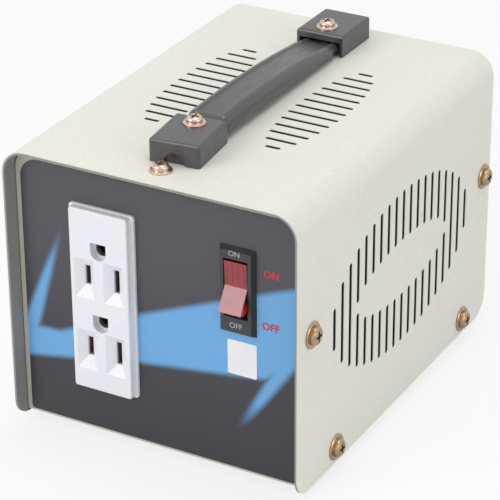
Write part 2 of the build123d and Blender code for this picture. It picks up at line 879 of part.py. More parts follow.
def make_cap(end):
    """A hollow end cap: end -1 is the front one, its mouth faces the strap."""
    first, last = handle_ends()
    y0, y1 = (first, first + cap_length) if end < 0 else (last - cap_length, last)
    half = cap_width / 2
    body = block(-half, half, y0, y1, top, top + cap_height)
    outer = body.faces().sort_by(Axis.Y)[0 if end < 0 else -1]
    body = fillet(body.edges().group_by(Axis.Z)[-1] + outer.edges().filter_by(Axis.Z), cap_edge)
    room = half - cap_wall
    inner0 = y0 + cap_end_wall if end < 0 else y0 - overrun
    inner1 = y1 + overrun if end < 0 else y1 - cap_end_wall
    roof = cap_roof if end < 0 else rear_cap_roof
    body -= block(-room, room, inner0, inner1, top - overrun, top + cap_height - roof)
    screw_y = cap_screw_places()[0 if end < 0 else 1][0]
    boss_low = top + core_strip_lift + core_strip_thickness + slip
    body += rod_z(0, screw_y, boss_low, cap_boss_radius, top + cap_height - cap_edge - boss_low)
    body -= rod_z(0, screw_y, top - overrun, screw_hole, cap_height + 2 * overrun)
    wall_y0 = y0 - touch if end < 0 else y1 - cap_notch_depth
    wall_y1 = wall_y0 + cap_notch_depth + touch
    half_notch = cap_notch_width / 2
    straight = cap_notch_height - half_notch
    body -= block(-half_notch, half_notch, wall_y0, wall_y1, top - touch, top + straight)
    body -= rod_y(0, wall_y0, top + straight, half_notch, wall_y1 - wall_y0)
    turn = front_cap_turn if end < 0 else 0.0
    return Pos(0, screw_y, 0) * Rot(0, 0, turn) * Pos(0, -screw_y, 0) * body


def strap_span():
    """Both ends of the moulded strap, inside the caps."""
    first, last = handle_ends()
    return first + cap_length - strap_inset, last - cap_length + strap_inset


def strap_arc(front_lift, middle_lift, rear_lift):
    """Three points of an arched line along the strap, given as heights above the cover."""
    y0, y1 = strap_span()
    return (y0, top + front_lift), ((y0 + y1) / 2, top + middle_lift), (y1, top + rear_lift)


def strap_slab(low, high, half):
    """The space between two arched lines, as wide as 2 * half."""
    outline = make_face(
        ThreePointArc(*low).edges() + ThreePointArc(*high).edges()
        + Line(low[0], high[0]).edges() + Line(low[2], high[2]).edges()
    )
    return extrude(Plane.YZ * outline, amount=half, both=True)


def make_strap():
    """The moulded strap, flat in the middle with raised edges and a neck at each end."""
    half, neck = strap_width / 2, strap_neck_width / 2
    low = strap_arc(strap_front_lift, strap_middle_lift, strap_rear_lift)
    high = strap_arc(strap_front_roof, strap_middle_roof, strap_rear_roof)
    body = strap_slab(low, high, half)
    long_edges = [e for e in body.edges() if abs(abs(e.center().X) - half) < touch and e.length > strap_width]
    body = fillet(long_edges, strap_edge)
    roofs = (strap_front_roof, strap_middle_roof, strap_rear_roof)
    floor = strap_arc(*[roof - strap_channel_depth for roof in roofs])
    above = strap_arc(*[roof + overrun for roof in roofs])
    body -= strap_slab(floor, above, strap_channel_width / 2)
    y0, y1 = strap_span()
    shoulder = y0 + strap_inset + strap_shoulder
    waist = y1 - strap_inset
    plan = Polyline(
        (-neck, y0 - overrun), (neck, y0 - overrun), (neck, shoulder), (half, shoulder),
        (half, waist - strap_taper), (neck, waist), (neck, y1 + overrun), (-neck, y1 + overrun),
        (-neck, waist), (-half, waist - strap_taper), (-half, shoulder), (-neck, shoulder), close=True,
    )
    body &= Pos(0, 0, top) * extrude(make_face(plan.edges()), amount=2 * cap_height)
    return body - block(-half, half, y0 - overrun, shoulder, top + strap_neck_roof, top + 2 * cap_height)


def strap_cuts():
    """Where the strap bends: y of the two inner cuts."""
    first, last = handle_ends()
    return (first + cap_length + strap_run_length, last - cap_length - strap_run_length)


def strap_segment(body, y0, y1):
    half = strap_width
    return body & block(-half, half, y0, y1, top - overrun, top + 2 * cap_height + overrun)


def strap_pieces():
    """Front run, grip and rear run of the strap, with a gap at each bend."""
    body = make_strap()
    first, last = handle_ends()
    cut0, cut1 = strap_cuts()
    return (
        strap_segment(body, first, cut0 - touch),
        strap_segment(body, cut0, cut1),
        strap_segment(body, cut1 + touch, last),
    )


def make_tongue(end):
    """The steel end of the strap, slotted around the cap's screw."""
    first, last = handle_ends()
    mouth = first + cap_length if end < 0 else last - cap_length
    z0 = top + core_strip_lift
    half = core_strip_width / 2
    deep = mouth + end * tongue_length
    y0, y1 = sorted((mouth + end * (strap_inset + touch), deep))
    body = block(-half, half, y0, y1, z0, z0 + core_strip_thickness)
    body = fillet(
        [e for e in body.edges().filter_by(Axis.Z) if abs(e.center().Y - deep) < touch], cap_wall,
    )
    screw_y = cap_screw_places()[0 if end < 0 else 1][0]
    slot = extrude(SlotOverall(tongue_slot_length, tongue_slot_width, rotation=90), amount=overrun)
    return body - Pos(0, screw_y + end * tongue_slot_shift, z0 - overrun / 2) * slot


def foot_places():
    xs = (-half_width + foot_inset_x, half_width - foot_inset_x)
    ys = (front + foot_inset_y, rear - foot_inset_y)
    return [(x, y) for x in xs for y in ys]


def make_foot(x, y):
    foot = Pos(x, y, tray_z / 2) * Cone(foot_radius, foot_top_radius, tray_z)
    foot -= rod_z(x, y, -touch, foot_well_radius, foot_well_depth + touch)
    return foot - rod_z(x, y, -touch, foot_screw_radius + touch, tray_z + 2 * touch)


def make_foot_screw(x, y):
    screw = small_screw(foot_screw_length, foot_screw_radius, foot_screw_head, foot_screw_head_height)
    return Pos(x, y, foot_well_depth) * Rot(180, 0, 0) * screw


core_z = tray_top + core_lift
core_mid_y = front + core_y
core_front_y = core_mid_y - core_stack / 2
core_rear_y = core_mid_y + core_stack / 2
window_width = (core_width - 4 * core_limb) / 2
window_height = core_height - 2 * core_limb


def bolt_places():
    xs = (-core_width / 2 + bolt_inset, core_width / 2 - bolt_inset)
    zs = (core_z + bolt_inset, core_z + core_height - bolt_inset)
    return [(x, z) for x in xs for z in zs]


def bracket_screw_places():
    reach = core_stack / 2 + bracket_sheet + (bracket_foot - bracket_sheet) / 2
    middle = front + core_y
    return [(x, middle + side * reach) for x in (-bracket_screw_x, bracket_screw_x) for side in (-1, 1)]


def make_core():
    half = core_width / 2
    body = block(-half, half, core_front_y, core_rear_y, core_z, core_z + core_height)
    for side in (-1, 1):
        x0, x1 = sorted((side * core_limb, side * (core_limb + window_width)))
        body -= block(
            x0, x1, core_front_y - overrun, core_rear_y + overrun,
            core_z + core_limb, core_z + core_limb + window_height,
        )
    for x, z in bolt_places():
        body -= rod_y(x, core_front_y - overrun, z, bolt_radius + bolt_gap, core_stack + 2 * overrun)
    return body


def coil_ring(inner, outer, z0, z1):
    """A square tube about the middle limb, given as gaps from the limb's faces."""
    def box_at(gap):
        return block(
            -core_limb - gap, core_limb + gap, core_front_y - gap, core_rear_y + gap, z0, z1,
        )
    return box_at(outer) - block(
        -core_limb - inner, core_limb + inner, core_front_y - inner, core_rear_y + inner,
        z0 - overrun, z1 + overrun,
    )


bobbin_low = core_z + core_limb + bobbin_gap
bobbin_high = core_z + core_limb + window_height - bobbin_gap
bobbin_outer = bobbin_gap + bobbin_wall
wound_room = window_width - winding_room - bobbin_outer
winding_build = (wound_room - wrap_thickness - 3 * winding_gap) / 2
inner_outer = bobbin_outer + winding_gap + winding_build
outer_outer = inner_outer + wrap_thickness + 2 * winding_gap + winding_build


def make_bobbin():
    body = coil_ring(bobbin_gap, bobbin_outer, bobbin_low, bobbin_high)
    reach = window_width - bobbin_flange_room
    body += coil_ring(bobbin_gap, reach, bobbin_low, bobbin_low + bobbin_wall)
    body += coil_ring(bobbin_gap, reach, bobbin_high - bobbin_wall, bobbin_high)
    return body


def winding(inner, outer):
    low = bobbin_low + bobbin_wall + winding_gap
    high = bobbin_high - bobbin_wall - winding_gap
    body = coil_ring(inner, outer, low, high)
    corners = [
        e for e in body.edges().filter_by(Axis.Z)
        if abs(abs(e.center().X) - core_limb - outer) < touch
    ]
    return fillet(corners, outer - inner)


def make_bracket(side):
    """An angle at the foot of the core, side -1 in front and +1 behind."""
    face = core_front_y if side < 0 else core_rear_y
    far = face + side * bracket_sheet
    toe = face + side * bracket_foot
    half = core_width / 2
    y0, y1 = sorted((face, far))
    body = block(-half, half, y0, y1, tray_top, core_z + bracket_height)
    y0, y1 = sorted((face, toe))
    body += block(-half, half, y0, y1, tray_top, tray_top + bracket_sheet)
    y0, y1 = sorted((face, face - side * bracket_toe))
    body += block(-half, half, y0, y1, core_z - bracket_sheet, core_z)
    for x, z in bolt_places():
        body -= rod_y(x, face - overrun, z, bolt_radius + bolt_gap, 2 * overrun)
    for x, y in bracket_screw_places():
        body -= rod_z(x, y, tray_z, screw_radius + touch, overrun)
    return body


def make_bar(side):
    """A flat clamp bar across the top yoke."""
    face = core_front_y if side < 0 else core_rear_y
    y0, y1 = sorted((face, face + side * bracket_sheet))
    half = core_width / 2
    roof = core_z + core_height
    body = block(-half, half, y0, y1, roof - bar_height, roof)
    for x, z in bolt_places():
        body -= rod_y(x, face - overrun, z, bolt_radius + bolt_gap, 2 * overrun)
    return body


def make_bolts():
    bolts = []
    seat = core_front_y - bracket_sheet
    length = core_stack + 2 * bracket_sheet + nut_height + bolt_radius
    for x, z in bolt_places():
        head = extrude(RegularPolygon(bolt_head_radius, nut_sides, major_radius=False), amount=bolt_head_height)
        bolt = Pos(x, seat, z) * Rot(90, 0, 0) * head
        bolts.append(bolt + rod_y(x, seat, z, bolt_radius, length))
    return bolts


def make_bolt_nuts():
    seat = core_rear_y + bracket_sheet
    nut = hex_nut(nut_flat_radius, nut_height, bolt_radius + touch)
    return [Pos(x, seat, z) * Rot(-90, 0, 0) * nut for x, z in bolt_places()]


def make_gland():
    seat = rear_panel_y
    z = base + gland_z
    body = rod_y(gland_x, seat, z, gland_collar_radius, gland_collar_length)
    for i in range(gland_flutes):
        angle = 2 * math.pi * i / gland_flutes
        x = gland_x + gland_collar_radius * math.cos(angle)
        body -= rod_y(
            x, seat + gland_rim, z + gland_collar_radius * math.sin(angle),
            gland_flute, gland_collar_length,
        )
    nose = Pos(gland_x, seat + gland_collar_length + gland_nose_length / 2, z) * Rot(-90, 0, 0)
    body += nose * Cone(gland_nose_radius, gland_bore + gland_flute, gland_nose_length)
    body += rod_y(gland_x, seat - gland_thread_length, z, gland_thread_radius, gland_thread_length)
    total = gland_thread_length + gland_collar_length + gland_nose_length
    return body - rod_y(gland_x, seat - gland_thread_length - touch, z, gland_bore, total + 2 * touch)


def make_gland_nut():
    nut = hex_nut(gland_nut_radius, gland_nut_height, gland_thread_radius + touch)
    y = rear_panel_y - chassis_sheet
    return Pos(gland_x, y, base + gland_z) * Rot(90, 0, 0) * nut


def make_fuse_body():
    z = base + fuse_z
    body = rod_y(fuse_x, rear_panel_y, z, fuse_collar_radius, fuse_collar_length)
    body += rod_y(fuse_x, rear_panel_y - fuse_body_length, z, fuse_body_radius, fuse_body_length)
    start = rear_panel_y - fuse_body_length + fuse_wall_end
    bore = fuse_stem_radius + touch
    body -= rod_y(fuse_x, start, z, bore, fuse_body_length + fuse_collar_length)
    return body


def make_fuse_nut():
    nut = hex_nut(fuse_nut_radius, fuse_nut_height, fuse_body_radius + touch)
    y = rear_panel_y - chassis_sheet
    return Pos(fuse_x, y, base + fuse_z) * Rot(90, 0, 0) * nut


def make_fuse_cap():
    z = base + fuse_z
    seat = rear_panel_y + fuse_collar_length + slip
    body = rod_y(fuse_x, seat, z, fuse_cap_radius, fuse_cap_length)
    body = fillet(body.edges().group_by(Axis.Y)[-1], fuse_cap_edge)
    body -= block(
        fuse_x - fuse_cap_radius, fuse_x + fuse_cap_radius,
        seat + fuse_cap_length - fuse_slot_depth, seat + fuse_cap_length + overrun,
        z - fuse_slot_width / 2, z + fuse_slot_width / 2,
    )
    return body + rod_y(fuse_x, seat - fuse_stem_length, z, fuse_stem_radius, fuse_stem_length)


def fuse_start():
    return rear_panel_y + fuse_collar_length + slip - fuse_stem_length - slip - fuse_tube_length


def make_fuse():
    z = base + fuse_z
    start = fuse_start()
    bare = fuse_tube_length - 2 * fuse_ferrule_length
    body = rod_y(fuse_x, start, z, fuse_tube_radius, fuse_ferrule_length)
    body += rod_y(fuse_x, start + fuse_ferrule_length, z, fuse_tube_radius - fuse_glass_step, bare)
    return body + rod_y(
        fuse_x, start + fuse_ferrule_length + bare, z, fuse_tube_radius, fuse_ferrule_length,
    )


def make_fuse_lugs():
    """Tab at the end and tab on the side of the fuse holder."""
    z = base + fuse_z
    end = rear_panel_y - fuse_body_length
    half = fuse_lug_width / 2
    rear_lug = block(
        fuse_x - half, fuse_x + half, end - fuse_lug_length, end, z - blade_sheet / 2, z + blade_sheet / 2,
    )
    side_z = z + fuse_body_radius
    side_lug = block(
        fuse_x - half, fuse_x + half, end + fuse_lug_length, end + 2 * fuse_lug_length,
        side_z, side_z + blade_sheet,
    )
    side_lug += block(
        fuse_x - half, fuse_x + half, end + fuse_lug_length, end + fuse_lug_length + blade_sheet,
        side_z, side_z + fuse_lug_length,
    )
    return [rear_lug, side_lug]


def make_earth_ring():
    place = Pos(earth_x, front + earth_y, tray_top)
    ring = extrude(Circle(earth_ring_radius) - Circle(screw_radius + touch), amount=earth_ring_thickness)
    tail = block(
        -earth_tail_width / 2, earth_tail_width / 2,
        -earth_ring_radius - earth_tail, screw_radius - earth_ring_radius, 0, earth_ring_thickness,
    )
    return place * (ring + tail)


def make_thermal_cutout():
    """A sealed cut-out strapped to the front of the coil."""
    y1 = core_front_y - outer_outer - winding_gap
    z = (bobbin_low + bobbin_high) / 2
    half = cutout_width / 2
    body = block(-half, half, y1 - cutout_thickness, y1, z - cutout_height / 2, z + cutout_height / 2)
    return fillet(body.edges().filter_by(Axis.Z), cutout_corner)


def export(node, shape):
    """Write one named node, with each separate piece as its own solid."""
    pieces = shape if isinstance(shape, list) else [shape]
    solids = [solid for piece in pieces for solid in piece.solids()]
    out = solids[0] if len(solids) == 1 else Compound(children=solids)
    out.label = node
    export_step(out, os.path.join("parts", node + ".step"))
    box = Compound(children=solids).bounding_box() if len(solids) > 1 else out.bounding_box()
    extents.append((box.min, box.max))


extents = []
os.makedirs("parts", exist_ok=True)

export("cover", make_cover())
export("chassis", make_chassis())
export("front_label", make_label())
export("blank_sticker", make_sticker())
export("cover_side_screws", [
    Pos(x, y, z) * turn * sheet_screw(cover_screw_length) for x, y, z, turn in cover_screws()
])
export("cover_top_screw", Pos(0, panel_y + panel_screw_offset, top) * top_screw(cover_screw_length))

export("outlet_face", make_outlet_face())
export("outlet_housing", make_outlet_housing())
export("outlet_clips", make_outlet_clips())
export("outlet_screws", make_outlet_screws())
export("hot_contact", make_contact(-1, hot_slot_height))
export("neutral_contact", make_contact(1, neutral_slot_height))
export("ground_contact", make_ground_contact())

export("switch_frame", make_switch_frame())
export("switch_rocker", make_rocker())
export("switch_lamp", make_lamp())
export("switch_plunger", make_plunger())
export("plunger_spring", make_plunger_spring())
export("switch_seesaw", make_seesaw())
export("switch_terminals", make_switch_blades())

export("handle_front_cap", make_cap(-1))
export("handle_rear_cap", make_cap(1))
front_run, grip, rear_run = strap_pieces()
export("strap_front_run", front_run)
export("strap_grip", grip)
export("strap_rear_run", rear_run)
export("strap_front_tongue", make_tongue(-1))
export("strap_rear_tongue", make_tongue(1))
export("handle_screws", [
    Pos(0, y, top + cap_height) * top_screw(handle_screw_length) for y, _ in cap_screw_places()
])
export("handle_nuts", [
    Pos(0, y, top - cover_sheet - nut_height) * hex_nut(nut_flat_radius, nut_height, thread_hole)
    for y, _ in cap_screw_places()
])

export("rubber_feet", [make_foot(x, y) for x, y in foot_places()])
export("foot_screws", [make_foot_screw(x, y) for x, y in foot_places()])

export("core_laminations", make_core())
export("coil_bobbin", make_bobbin())
export("common_winding", winding(bobbin_outer + winding_gap, inner_outer))
export("series_winding", winding(inner_outer + wrap_thickness + winding_gap * 2, outer_outer))
export("winding_insulation", coil_ring(
    inner_outer + winding_gap, inner_outer + winding_gap + wrap_thickness,
    bobbin_low + bobbin_wall + winding_gap, bobbin_high - bobbin_wall - winding_gap,
))
export("thermal_cutout", make_thermal_cutout())
export("core_front_bracket", make_bracket(-1))
export("core_rear_bracket", make_bracket(1))
export("core_front_bar", make_bar(-1))
export("core_rear_bar", make_bar(1))
export("core_bolts", make_bolts())
export("core_nuts", make_bolt_nuts())
export("bracket_screws", [
    Pos(x, y, tray_top + bracket_sheet) * sheet_screw(bracket_screw_length)
    for x, y in bracket_screw_places()
])

export("cord_gland", make_gland())
export("gland_nut", make_gland_nut())
export("fuse_holder", make_fuse_body())
export("fuse_nut", make_fuse_nut())
export("fuse_cap", make_fuse_cap())
export("fuse", make_fuse())
export("fuse_lugs", make_fuse_lugs())
export("earth_terminal", make_earth_ring())
earth_seat = Pos(earth_x, front + earth_y, tray_top + earth_ring_thickness)
export("earth_screw", earth_seat * sheet_screw(earth_screw_length))

low = [min(getattr(a, axis) for a, _ in extents) for axis in ("X", "Y", "Z")]
high = [max(getattr(b, axis) for _, b in extents) for axis in ("X", "Y", "Z")]
print("box", [round(v, 3) for v in low], [round(v, 3) for v in high])
print("front", round(front, 3), "rear", round(rear, 3), "top", round(top, 3), "panel", round(panel_y, 3))
print("rocker pivot", [round(v, 3) for v in rocker_pivot()])
print("seesaw pivot", [round(v, 3) for v in seesaw_pivot()])
print("strap bends", [round(v, 3) for v in strap_cuts()], "caps", [round(v, 3) for v in handle_ends()])
print("cap screws", [round(y, 3) for y, _ in cap_screw_places()])
print("ground holes", [(round(x, 3), round(z, 3)) for x, z in ground_holes()])
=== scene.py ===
"""Looks of the voltage converter: camera, light, materials, the moulded strap and the lettering."""
import bpy
import json
import math
from mathutils import Matrix, Vector


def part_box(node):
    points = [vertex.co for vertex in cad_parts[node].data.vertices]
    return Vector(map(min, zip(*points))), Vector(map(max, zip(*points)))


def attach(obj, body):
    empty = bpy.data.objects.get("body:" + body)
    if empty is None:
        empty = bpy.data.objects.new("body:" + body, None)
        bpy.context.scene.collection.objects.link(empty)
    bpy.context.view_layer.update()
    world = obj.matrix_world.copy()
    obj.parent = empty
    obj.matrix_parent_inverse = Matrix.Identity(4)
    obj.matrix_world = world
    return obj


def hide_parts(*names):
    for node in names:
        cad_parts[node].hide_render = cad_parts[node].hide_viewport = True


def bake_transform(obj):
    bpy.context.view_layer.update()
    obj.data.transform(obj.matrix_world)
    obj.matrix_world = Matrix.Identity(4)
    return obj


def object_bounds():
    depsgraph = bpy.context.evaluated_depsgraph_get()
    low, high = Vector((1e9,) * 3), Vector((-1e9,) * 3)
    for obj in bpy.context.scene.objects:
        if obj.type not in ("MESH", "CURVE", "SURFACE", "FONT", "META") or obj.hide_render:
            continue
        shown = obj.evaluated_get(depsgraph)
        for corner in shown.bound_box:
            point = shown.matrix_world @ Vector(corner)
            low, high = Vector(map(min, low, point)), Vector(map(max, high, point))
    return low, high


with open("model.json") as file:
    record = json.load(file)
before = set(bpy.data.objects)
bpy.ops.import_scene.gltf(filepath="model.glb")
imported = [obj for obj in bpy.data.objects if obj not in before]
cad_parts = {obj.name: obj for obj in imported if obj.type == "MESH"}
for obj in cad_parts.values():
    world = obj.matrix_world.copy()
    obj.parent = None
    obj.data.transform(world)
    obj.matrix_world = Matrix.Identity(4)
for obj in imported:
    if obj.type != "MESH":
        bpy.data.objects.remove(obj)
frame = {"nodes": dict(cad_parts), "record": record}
cad_low, cad_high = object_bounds()
nodes = frame["nodes"]

# Units and axes
mm = 0.001
x_axis, y_axis, z_axis = (1, 0, 0), (0, 1, 0), (0, 0, 1)

# Camera, placed from the cover's lower front left corner
camera_from_cover = (0.478958, -0.668597, 0.496818)
camera_turn_degrees = (62.6442, 0.32438, 28.9961)
camera_lens = 174.554
camera_sensor = 36.0
camera_near = 10 * mm

# Light
world_strength = 0.62
white_strength = 1.0
softbox_size = 0.55
key_power = 3.8
top_power = 3.0
side_power = 1.5
key_direction = (-0.43, -0.77, 0.475)
top_direction = (0.1, 0.1, 1.0)
side_direction = (1.0, -0.2, 0.35)
lamp_distance = 1.1

# Floor
floor_half = 4.0
floor_grey = (0.86, 0.86, 0.86, 1)
floor_roughness = 0.8
floor_glow = 0.78

# Finish sizes
paint_grain = 1.25 * mm
paint_depth = 0.05 * mm
paint_wear_reach = 0.5 * mm
edge_round = 0.25 * mm
cover_bend = 9.8 * mm
# How deep under the cover's outer skin the painted shade of its inner side starts and is full
cover_inside_start = 0.12 * mm
cover_inside_end = 0.3 * mm
overhang_fade = 1 * mm
flash_blur = 1.7 * mm
slot_shade_start = 3.2 * mm
slot_shade_end = 3.7 * mm
slot_shade_margin = 3.0 * mm
rocker_rib_pitch = 2.35 * mm
rocker_rib_fade = 1 * mm
# Where the painted shade on the rocker's sides starts, and the heights of its painted highlight
rocker_flank_start = 4.45 * mm
rocker_flank_end = 4.6 * mm
rocker_spot_start = 5 * mm
rocker_spot_end = 2.5 * mm
screw_rose_reach = 40 * mm
screw_brass_reach = 60 * mm
fuse_cap_blur = 0.1 * mm
sheet_pitch = 0.7 * mm
wire_pitch = 0.9 * mm
fuse_cap_share = 0.27

# Noise is cut between these before it drives a value, unless a finish says otherwise
noise_cut = (0.3, 0.7)
bevel_samples = 4
cell_softness = 0.6

# On an edge the rounded normal turns away from the true one: cosines where that starts and is full
edge_start, edge_full = 0.995, 0.8

# Printed words, each placed in x and z from the middle of the switch's bezel
lettering_thickness = 0.06 * mm
bezel_letter_height = 2.15 * mm
label_letter_height = 3.1 * mm
label_letter_bold = 0.09 * mm
bezel_words = {"bezel_on": ("ON", (-0.5, 15.8)), "bezel_off": ("OFF", (0.1, -13.7))}
overlay_words = {"overlay_on": ("ON", (13.7, 9.5)), "overlay_off": ("OFF", (13.4, -12.0))}

# The moulded strap: sizes above the cover, and how it narrows at its ends
strap_half_width = 8.8 * mm
strap_neck_half_width = 8.0 * mm
strap_underside = (2.8 * mm, 2.9 * mm, 2.0 * mm)
strap_roof = (9.0 * mm, 9.6 * mm, 5.2 * mm)
strap_neck_roof = 7.4 * mm
strap_channel_half = 4.3 * mm
strap_channel_depth = 0.7 * mm
strap_ridge = 5.5 * mm
strap_slope_drop = 4.0 * mm
strap_slope_share = 0.62
strap_lower_radius = 0.9 * mm
strap_lower_radius_share = 0.25
strap_step_length = 0.5 * mm
strap_shoulder = 1.4 * mm
strap_taper = 7.0 * mm
strap_inset = 2.4 * mm
strap_steps = 96
corner_steps = 6
slope_steps = 12
sharp_angle = math.radians(40)

# The flash on the overlay, as convex pieces in x and z, and where its two points fade out
flash_pieces = {
    "left_point": [(-41.1, 91.0), (-59.4, 48.0), (-61.8, 36.0), (-56.1, 36.0)],
    "left_band": [(-63.0, 29.6), (-32.0, 35.6), (-32.0, 48.7), (-52.0, 44.4), (-63.0, 44.0)],
    "hidden_band": [(-44.0, 33.2), (-10.0, 40.0), (-10.0, 60.1), (-44.0, 44.7)],
    "right_band": [(-15.0, 39.4), (45.6, 47.9), (62.0, 58.6), (62.0, 90.0), (42.4, 82.2), (-15.0, 58.2)],
    "right_point": [(52.1, 58.0), (66.0, 66.9), (33.6, 20.5), (33.0, 22.5)],
}
flash_left_fade = (70.0, 92.0)
flash_right_fade = (22.0, 40.0)
# Heights in mm over which the charcoal is painted from darker at the bottom to lighter at the top, a painted
# reflection
charcoal_reflection_fade = (30.0, 100.0)

# Colours as they look on screen, 0 to 255
palette = {
    # the dark inside colour of the cover is painted shade, seen in its vents
    "cover_cream": (231, 230, 221), "cover_overhang": (146, 146, 142), "cover_inside_shade": (52, 50, 48),
    "chassis_grey": (204, 201, 189),
    # the lower charcoal is painted shade at the bottom of the overlay
    "charcoal": (79, 77, 83), "charcoal_bottom_shade": (60, 59, 64), "flash_blue": (108, 170, 222),
    "sticker_white": (236, 236, 238),
    # the brown for the depths of the outlet's slots is painted shade
    "outlet_white": (233, 234, 240), "slot_shade_brown": (122, 104, 90), "housing_brown": (70, 52, 42),
    "switch_black": (56, 55, 58), "cap_black": (56, 55, 58), "strap_grey": (60, 59, 61),
    "rocker_red": (214, 30, 34), "rocker_dark": (140, 20, 34), "rocker_light": (158, 28, 42),
    # the rocker's flank colour is painted shade, its spot colour a painted highlight
    "rocker_rib": (112, 14, 24), "rocker_spot_highlight": (214, 34, 34), "rocker_flank_shade": (92, 10, 14),
    "screw_rose": (214, 186, 170), "top_screw_rose": (216, 190, 176), "screw_stain": (140, 104, 88),
    "olive_brass": (178, 168, 136), "red_brass": (184, 148, 118),
    "contact_brass": (206, 160, 92), "spring_steel": (176, 177, 180), "zinc": (196, 198, 196),
    "core_steel": (92, 90, 88), "sheet_dark": (70, 68, 66), "sheet_light": (112, 110, 108),
    "core_rust": (104, 84, 66),
    # the dark and light wire colours are painted shade in the grooves and painted highlight on the crests
    "wire_copper": (150, 74, 40), "wire_groove_shade": (96, 42, 24), "wire_crest_highlight": (176, 92, 52),
    "paper": (206, 176, 112), "paper_dark": (188, 156, 94), "paper_light": (222, 194, 132),
    "bobbin_cream": (214, 208, 190),
    "rubber": (44, 43, 44), "rubber_dark": (40, 39, 40), "rubber_dust": (84, 82, 80),
    "lamp_orange": (255, 190, 150),
    "fuse_tube": (214, 220, 220), "fuse_glass": (222, 228, 228), "fuse_cap": (190, 190, 188),
    "grey_ink": (176, 176, 180), "red_ink": (196, 48, 58),
}


def hue(name):
    """A colour of the palette, turned to linear light."""
    def linear(c):
        c = c / 255
        return c / 12.92 if c <= 0.04045 else ((c + 0.055) / 1.055) ** 2.4
    return tuple(linear(c) for c in palette[name]) + (1.0,)


def tone(colour, factor):
    return tuple(min(1.0, c * factor) for c in colour[:3]) + (1.0,)


